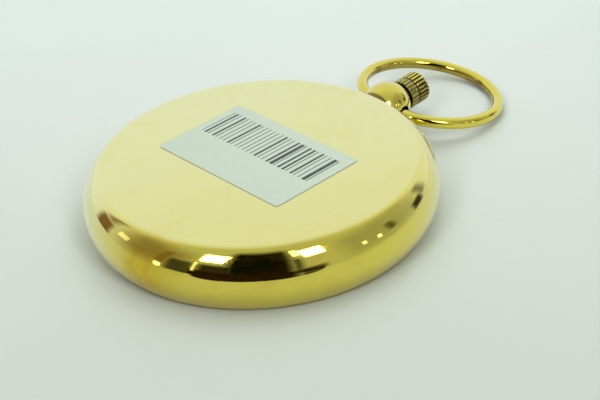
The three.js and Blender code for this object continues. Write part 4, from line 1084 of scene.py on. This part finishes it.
class COMPASS_OT_bow(Operator):
    """Bends the wire bow round and into the pendant"""
    bl_idname = "compass.bow"
    bl_label = "Bend Bow"

    def execute(self, context):
        bow = properties(context).bow
        hang, centre = bow_place(bow)
        straight = math.sqrt(bow.radius ** 2 - centre ** 2 - 2.0 * bow.bend * (bow.radius - centre))
        turn = math.atan2(straight, centre - bow.bend)
        bm = bmesh.new()
        place = Matrix.Translation((bow.tip, 0.0, 0.0)) @ Matrix.Rotation(QUARTER_TURN, 4, "Y")
        rim = bmesh.ops.create_circle(bm, segments=bow.sides, radius=0.5 * bow.wire, matrix=place)["verts"]

        def pull(wire):
            """Draws the wire out along the hinge."""
            grown = bmesh.ops.extrude_edge_only(bm, edges=edges_of(wire))["geom"]
            bmesh.ops.translate(bm, vec=(straight - bow.tip, 0.0, 0.0), verts=verts_of(grown))
            return verts_of(grown) + edges_of(grown)

        wire = pull(rim + rim_edges(rim))
        for about_x, about_y, sweep, steps in ((straight, bow.bend, turn, 14),
                                               (0.0, centre, FULL_TURN - 2.0 * turn, 128),
                                               (-straight, bow.bend, turn, 14)):
            wire = bmesh.ops.spin(bm, geom=wire, cent=(about_x, about_y, 0.0), axis=UPWARDS, angle=sweep,
                                  steps=steps)["geom_last"]
        pull(wire)
        ends = [edge for edge in bm.edges if edge.is_boundary]
        bmesh.ops.holes_fill(bm, edges=ends, sides=0)
        ease(bm, ends, bow.tip_edge, 3)
        welded(bm)
        bmesh.ops.transform(bm, matrix=hang, verts=bm.verts[:])
        dress(mesh_object("bow_wire", bm), "bow", ["bow_ring"], "bow_brass")
        return {"FINISHED"}


# Label and dial


class COMPASS_OT_label(Operator):
    """Cuts the paper label and lays it on the back"""
    bl_idname = "compass.label"
    bl_label = "Lay Label"

    def execute(self, context):
        label = properties(context).label
        base, face = low("paper_label").z, high("paper_label").z
        bm = bmesh.new()
        bmesh.ops.create_cube(bm, size=1.0)
        bmesh.ops.scale(bm, vec=(label.long_side, label.short_side, face - base), verts=bm.verts[:])
        posts = [edge for edge in bm.edges if abs(edge.verts[0].co.z - edge.verts[1].co.z) > WELD]
        ease(bm, posts, label.corner, 8)
        rim = [edge for edge in bm.edges if all(vert.co.z > 0.0 for vert in edge.verts)
               and len(edge.link_faces) == 2 and any(abs(link.normal.z) < 0.5 for link in edge.link_faces)]
        ease(bm, rim, label.edge, 2)
        welded(bm)
        place = Matrix.Translation((*label.centre, 0.5 * (base + face))) @ Matrix.Rotation(label.turn, 4, "Z")
        bmesh.ops.transform(bm, matrix=place, verts=bm.verts[:])
        dress(mesh_object("label_sheet", bm), "case", ["paper_label"], "coated_paper")
        return {"FINISHED"}


def dial_place(degrees, reach, height):
    """Where print goes on the dial, read from the glass with north up."""
    return (Matrix.Rotation(math.radians(degrees), 4, "Z") @ Matrix.Translation((0.0, reach, height))
            @ Matrix.Rotation(math.pi, 4, "Y"))


def print_words(bm, words, size, place):
    """Adds a word's flat faces to the print."""
    curve = bpy.data.curves.new("dial_type", "FONT")
    curve.body, curve.size, curve.resolution_u = words, size, 4
    curve.align_x = curve.align_y = "CENTER"
    holder = bpy.data.objects.new("dial_type", curve)
    bpy.context.scene.collection.objects.link(holder)
    mesh = bpy.data.meshes.new_from_object(holder.evaluated_get(bpy.context.evaluated_depsgraph_get()))
    mesh.transform(place)
    bm.from_mesh(mesh)
    bpy.data.objects.remove(holder)
    bpy.data.curves.remove(curve)
    bpy.data.meshes.remove(mesh)


def print_bar(bm, width, height, place):
    """Adds a flat bar to the print."""
    bmesh.ops.create_grid(bm, x_segments=1, y_segments=1, size=0.5,
                          matrix=place @ Matrix.Diagonal((width, height, 1.0, 1.0)))


def print_circle(bm, inner, outer, height):
    """Adds a flat ring to the print."""
    edges = []
    for radius in (inner, outer):
        place = Matrix.Translation((0.0, 0.0, height))
        edges += rim_edges(bmesh.ops.create_circle(bm, segments=128, radius=radius, matrix=place)["verts"])
    bmesh.ops.bridge_loops(bm, edges=edges)


def ink_piece(name, bm, depth):
    """Gives the print its thickness and inks it."""
    bmesh.ops.remove_doubles(bm, verts=bm.verts[:], dist=WELD)
    grown = bmesh.ops.extrude_face_region(bm, geom=bm.faces[:], use_keep_orig=True)["geom"]
    bmesh.ops.translate(bm, vec=(0.0, 0.0, depth), verts=verts_of(grown))
    bmesh.ops.recalc_face_normals(bm, faces=bm.faces[:])
    dress(mesh_object(name, bm), "case", [], "dial_ink")


class COMPASS_OT_dial(Operator):
    """Prints the degrees, the cardinal letters and the rose"""
    bl_idname = "compass.dial"
    bl_label = "Print Dial"

    def execute(self, context):
        props = properties(context)
        dial = props.dial
        self.print_degrees(
            dial, props.case.lip_radius - dial.scale_gap, low("degree_ring").z - dial.print_depth)
        self.print_face(dial, low("dial_plate").z - dial.print_depth)
        return {"FINISHED"}

    def print_degrees(self, dial, outer, height):
        """Ticks and numbers on the degree ring."""
        degrees = bmesh.new()
        for degree in range(0, 360, 2):
            tick, width = dial.tick, dial.tick_width
            if degree % 10 == 0:
                tick, width = dial.long_tick, dial.long_tick_width
            print_bar(degrees, width, tick, dial_place(degree, outer - 0.5 * tick, height))
        numbers = outer - dial.long_tick - 0.62 * dial.number_size
        for degree in range(0, 360, 30):
            print_words(degrees, str(degree), dial.number_size, dial_place(degree, numbers, height))
        ink_piece("degree_print", degrees, dial.print_depth)

    def print_face(self, dial, height):
        """Letters, rose and circles on the dial."""
        face = bmesh.new()
        for degree, letter in zip(range(0, 360, 90), "NESW"):
            print_words(face, letter, dial.letter_size, dial_place(degree, dial.letter_place, height))
        for degree in range(0, 360, 45):
            reach = dial.rose_radius if degree % 90 == 0 else dial.rose_short
            near, side, tip, other = (
                dial_place(degree + turn, far, height).to_translation()
                for turn, far in ((0.0, dial.rose_hub), (-22.5, dial.rose_waist), (0.0, reach),
                                  (22.5, dial.rose_waist)))
            bmesh.ops.contextual_create(face, geom=[face.verts.new(corner) for corner in (near, side, tip)])
            line = other - tip
            slant = Matrix.Translation(tip + 0.5 * line) @ Matrix.Rotation(math.atan2(line.y, line.x), 4, "Z")
            print_bar(face, line.length, dial.tick_width, slant)
        hub = dial.rose_hub - dial.hub_gap
        print_circle(face, hub - dial.hub_line, hub, height)
        print_circle(face, dial.circle, dial.circle + dial.circle_line, height)
        ink_piece("dial_print", face, dial.print_depth)


# Table, lights and camera


# Room between the table's hole and the rim, radii of its near and far parts, and its drop below the floor
TABLE_GAP = 0.05 * MM
TABLE_NEAR = 0.12
TABLE_FAR = 3.0
TABLE_DROP = 0.01 * MM

# Lamps that don't show in the metal: name, azimuth, elevation, distance, width, height, energy and tint
SOFT_LAMPS = (
    ("key_lamp", -135.0, 74.0, 0.9, 1.1, 1.1, 2.9, (1.0, 0.99, 0.97)),
    ("fill_lamp", 180.0, 73.0, 0.21, 0.08, 0.08, 0.036, (1.0, 1.0, 1.0)),
)

# Softboxes that the wall mirrors: name, azimuth, elevation, width and height in degrees, brightness
SOFTBOXES = (
    ("left_softbox", 10.0, 41.0, 13.0, 16.0, 9.0),
    ("right_softbox", 77.0, 42.0, 12.0, 17.0, 9.0),
    ("small_lamp_1", 65.5, 47.0, 3.0, 13.0, 4.0),
    ("small_lamp_2", -20.5, 2.0, 3.5, 9.0, 8.0),
    ("small_lamp_3", 106.5, 17.0, 2.5, 6.0, 3.0),
    ("small_lamp_4", 117.0, 13.0, 2.5, 6.0, 3.0),
    ("small_lamp_5", 1.5, 19.0, 1.5, 20.0, 1.6),
    ("small_lamp_6", -50.0, 17.0, 8.0, 8.0, 0.7),
)
SOFTBOX_REACH = 0.95

# Dark things that the wall mirrors: azimuths, elevations and softness in degrees, and depth
DARK_PATCHES = (
    (19.0, 62.0, -14.0, 59.0, 6.0, 1.0),
    (-3.0, 26.0, -12.0, 14.0, 3.0, 1.0),
    (3.0, 26.0, 8.0, 27.0, 4.0, 0.97),
    (-17.0, 4.0, -8.0, 27.0, 5.0, 0.9),
    (61.0, 80.0, -8.0, 9.0, 3.0, 0.88),
    (61.0, 67.0, -8.0, 34.0, 3.0, 0.85),
    (95.0, 158.0, 3.0, 46.0, 12.0, 0.32),
    (124.0, 132.0, 9.0, 26.0, 4.0, 0.85),
    (147.0, 159.0, 1.0, 13.0, 3.0, 0.96),
    (158.0, 166.0, 5.0, 24.0, 4.0, 0.7),
)

# Brown things that it mirrors, given in the same way
BROWN_PATCHES = (
    (-50.0, -2.0, 6.0, 44.0, 12.0, 0.62),
    (-25.0, -14.0, 8.0, 38.0, 5.0, 0.85),
    (-74.0, -60.0, -2.0, 18.0, 3.0, 0.97),
    (-72.0, -62.0, 18.0, 38.0, 5.0, 0.8),
)

# Curved screen round the camera's side
SCREEN_REACH = 1.0
SCREEN_TOP = 2.7
SCREEN_ARC = math.radians(270.0)

# Low dark strip close in front of the case, which draws away at its ends and shows only in the metal, as a painted
# dark reflection
STRIP_REACH = 95.0 * MM
STRIP_HEIGHT = 16.0 * MM
STRIP_MIDDLE = math.radians(40.0)
STRIP_ARC = math.radians(76.0)
STRIP_SPREAD = 0.97


def aim(azimuth, elevation):
    """Direction from the case towards a place round it, in degrees."""
    turn, lift = math.radians(azimuth), math.radians(elevation)
    return Vector((math.sin(turn) * math.cos(lift), -math.cos(turn) * math.cos(lift), math.sin(lift)))


def add_lamp(name, azimuth, elevation, distance, width, height, energy, tint=(1.0, 1.0, 1.0)):
    """An area lamp that looks at the case."""
    lamp = bpy.data.lights.new(name, "AREA")
    lamp.shape, lamp.size, lamp.size_y = "RECTANGLE", width, height
    lamp.energy, lamp.color = energy, tint
    holder = bpy.data.objects.new(name, lamp)
    towards = aim(azimuth, elevation)
    holder.location = towards * distance
    holder.rotation_euler = towards.to_track_quat("Z", "Y").to_euler()
    holder.visible_camera = False
    bpy.context.scene.collection.objects.link(holder)
    return holder


def bent_cloth(reach, top, arc, steps):
    """An upright cloth that stands on the floor, bent round the case's axis from X onwards."""
    bm = bmesh.new()
    foot = bm.verts.new((reach, 0.0, FLOOR_Z))
    bmesh.ops.extrude_vert_indiv(bm, verts=[foot])["verts"][0].co = (reach, 0.0, top)
    bmesh.ops.spin(bm, geom=bm.verts[:] + bm.edges[:], cent=ORIGIN, axis=UPWARDS, angle=arc, steps=steps)
    bmesh.ops.recalc_face_normals(bm, faces=bm.faces[:])
    return bm


def hang_cloth(name, bm, start):
    """Turns a cloth to where it starts, and leaves it to be seen only in the metal."""
    bmesh.ops.rotate(bm, cent=ORIGIN, matrix=Matrix.Rotation(start, 3, "Z"), verts=bm.verts[:])
    cloth = mesh_object(name, bm)
    cloth.data.materials.append(bpy.data.materials["screen_cloth"])
    cloth.visible_camera = False
    return cloth


def patch_mask(azimuth, elevation, patches):
    """Where soft-edged patches lie round the case, and how deep they are."""
    cover = None
    for left, right, bottom, top, soft, depth in patches:
        mask = azimuth.ramp(left - soft, left + soft, 0.0, depth)
        for value, edge, begin in ((azimuth, right, 1.0), (elevation, bottom, 0.0), (elevation, top, 1.0)):
            mask = mask * value.ramp(edge - soft, edge + soft, begin, 1.0 - begin)
        cover = cover.most(mask) if cover else mask
    return cover


def table_paper(studio):
    """Pale paper, painted darker in front of the camera as shade, and clear from below."""
    nodes = new_finish("table_paper", Roughness=0.85)
    place = nodes.place()
    grain = nodes.group("Surface Grain", Vector=place, Scale=12.0)
    near = nodes.towards(place, aim(math.degrees(studio.azimuth), 0.0))
    # Painted shade: the paper darkens towards the camera.
    fall = nodes.blend(near.ramp(-0.3, 0.16), studio.floor, studio.near_floor)
    nodes.feed(
        Base_Color=nodes.blend(grain.ramp(0.3, 0.7), fall, (0.975, 0.975, 0.975), blend_type="MULTIPLY"))
    nodes.see_through(nodes.add("ShaderNodeNewGeometry", output="Backfacing"), (1.0, 1.0, 1.0))


def screen_cloth(studio):
    """Cloth that is clear but for dark and brown patches."""
    nodes = new_finish("screen_cloth", Roughness=1.0, IOR=1.0)
    place = nodes.place()
    x, y, z = nodes.split(place)
    azimuth = x.step("ARCTAN2", y * -1.0).step("DEGREES")
    elevation = z.step("ARCTAN2", SCREEN_REACH).step("DEGREES")
    dark = patch_mask(azimuth, elevation, DARK_PATCHES)
    brown = patch_mask(azimuth, elevation, BROWN_PATCHES)
    blotch = nodes.group("Surface Grain", Vector=place, Scale=3.0)
    black = nodes.blend(blotch.ramp(0.42, 0.62), studio.dark_room, studio.warm_room)
    nodes.feed(
        Base_Color=nodes.blend(brown.step("GREATER_THAN", dark), black, studio.brown_room),
        Alpha=dark.most(brown))


class COMPASS_OT_stage(Operator):
    """Lays the table, hangs the screen, sets the lamps and stands the camera"""
    bl_idname = "compass.stage"
    bl_label = "Set Stage"

    def execute(self, context):
        props, scene = properties(context), context.scene
        table_paper(props.studio)
        screen_cloth(props.studio)
        self.lay_table(props.case)
        self.hang_screen(props.studio)
        self.set_lamps()
        self.light_surround(scene, props.studio)
        self.stand_camera(scene, props.studio)
        scene.view_settings.view_transform = "Standard"
        return {"FINISHED"}

    def lay_table(self, case):
        """A sheet with a hole under the glass."""
        bm = bmesh.new()
        rims = [rim_edges(bmesh.ops.create_circle(bm, segments=192, radius=radius)["verts"])
                for radius in (case.radius - case.rim_tuck - TABLE_GAP, TABLE_NEAR, TABLE_FAR)]
        for inner, outer in zip(rims, rims[1:]):
            bmesh.ops.bridge_loops(bm, edges=inner + outer)
        bmesh.ops.translate(bm, vec=(0.0, 0.0, FLOOR_Z - TABLE_DROP), verts=bm.verts[:])
        bmesh.ops.recalc_face_normals(bm, faces=bm.faces[:])
        if bm.faces[:][0].normal.z < 0.0:
            bmesh.ops.reverse_faces(bm, faces=bm.faces[:])
        table = mesh_object("table", bm)
        table.data.materials.append(bpy.data.materials["table_paper"])

    def hang_screen(self, studio):
        """A screen on the camera's side, and a strip that casts no shadow on the table and shows only in the
        metal, as a painted dark reflection.
        """
        screen = bent_cloth(SCREEN_REACH, SCREEN_TOP, SCREEN_ARC, 108)
        hang_cloth("dark_screen", screen, studio.azimuth - QUARTER_TURN - 0.5 * SCREEN_ARC)
        strip = bent_cloth(STRIP_REACH, FLOOR_Z + STRIP_HEIGHT, STRIP_ARC, 48)
        for vert in strip.verts:
            out = STRIP_SPREAD * (2.0 * math.atan2(vert.co.y, vert.co.x) / STRIP_ARC - 1.0)
            reach = CASE_RADIUS + (STRIP_REACH - CASE_RADIUS) / (1.0 - out ** 4)
            vert.co.xy = vert.co.xy * (reach / STRIP_REACH)
        strip = hang_cloth("dark_strip", strip, STRIP_MIDDLE - QUARTER_TURN - 0.5 * STRIP_ARC)
        strip.visible_diffuse = strip.visible_shadow = False

    def set_lamps(self):
        """The soft key lamp, the fill lamp over the bow, and the softboxes that show in the wall."""
        for lamp in SOFT_LAMPS:
            add_lamp(*lamp).visible_glossy = False
        for name, azimuth, elevation, wide, tall, bright in SOFTBOXES:
            width, height = (2.0 * SOFTBOX_REACH * math.tan(math.radians(0.5 * span))
                             for span in (wide, tall))
            energy = bright * math.pi * width * height
            add_lamp(name, azimuth, elevation, SOFTBOX_REACH, width, height, energy)

    def light_surround(self, scene, studio):
        """A pale surround, brighter on the far side and in what mirrors it."""
        scene.world = bpy.data.worlds.new("pale_surround")
        scene.world.use_nodes = True
        nodes = Nodes(scene.world.node_tree)
        look = nodes.add("ShaderNodeTexCoord", output="Generated")
        far = nodes.towards(look, aim(math.degrees(studio.azimuth) + 180.0, 12.0))
        camera, glossy, passed = (nodes.add("ShaderNodeLightPath", output=ray)
                                  for ray in ("Is Camera Ray", "Is Glossy Ray", "Is Transmission Ray"))
        seen = camera.most(glossy.most(passed))
        background = nodes.tree.nodes["Background"].inputs
        nodes.plug(background["Color"], studio.sky)
        nodes.plug(background["Strength"], far.ramp(-0.1, 0.75, 0.6, 0.9) * seen.ramp(0.0, 1.0, 0.8, 1.0))

    def stand_camera(self, scene, studio):
        """The camera at the photograph's angle."""
        back = aim(math.degrees(studio.azimuth), math.degrees(studio.elevation))
        level = Vector((math.cos(studio.azimuth), math.sin(studio.azimuth), 0.0))
        plumb = back.cross(level)
        right = math.cos(studio.roll) * level + math.sin(studio.roll) * plumb
        up = math.cos(studio.roll) * plumb - math.sin(studio.roll) * level
        aside = right * studio.aim_right + up * studio.aim_up
        eye = Vector((0.0, 0.0, FLOOR_Z)) + back * studio.distance + aside
        camera = bpy.data.objects.new("camera", bpy.data.cameras.new("camera"))
        camera.data.lens = studio.lens
        camera.data.clip_start = 0.01
        camera.matrix_world = Matrix.Translation(eye) @ Matrix((right, up, back)).transposed().to_4x4()
        scene.collection.objects.link(camera)
        scene.camera = camera


class COMPASS_PT_panel(Panel):
    """Lists the compass's steps and sizes"""
    bl_idname = "COMPASS_PT_panel"
    bl_label = "Brass Pocket Compass"
    bl_space_type = "VIEW_3D"
    bl_region_type = "UI"
    bl_category = "Compass"

    def draw(self, context):
        column = self.layout.column(align=True)
        for step in OPERATORS:
            column.operator(step.bl_idname)
        props = properties(context)
        for group in CompassProperties.__annotations__:
            box = self.layout.box()
            box.label(text=group.title())
            sizes = getattr(props, group)
            for size in sizes.__annotations__:
                box.prop(sizes, size)


OPERATORS = (
    COMPASS_OT_finishes,
    COMPASS_OT_case,
    COMPASS_OT_bezel,
    COMPASS_OT_glass,
    COMPASS_OT_pendant,
    COMPASS_OT_crown,
    COMPASS_OT_spring,
    COMPASS_OT_bow,
    COMPASS_OT_label,
    COMPASS_OT_dial,
    COMPASS_OT_stage,
)
CLASSES = (
    CaseSizes, PendantSizes, CrownSizes, BowSizes, LabelSizes, DialSizes, FinishColours, StudioSettings,
    CompassProperties, *OPERATORS, COMPASS_PT_panel,
)


def register():
    for each in CLASSES:
        bpy.utils.register_class(each)
    bpy.types.Scene.brass_compass = PointerProperty(type=CompassProperties)


def unregister():
    del bpy.types.Scene.brass_compass
    for each in reversed(CLASSES):
        bpy.utils.unregister_class(each)


def main():
    register()
    for step in OPERATORS:
        getattr(bpy.ops.compass, step.bl_idname.split(".")[1])()


if __name__ == "__main__":
    main()
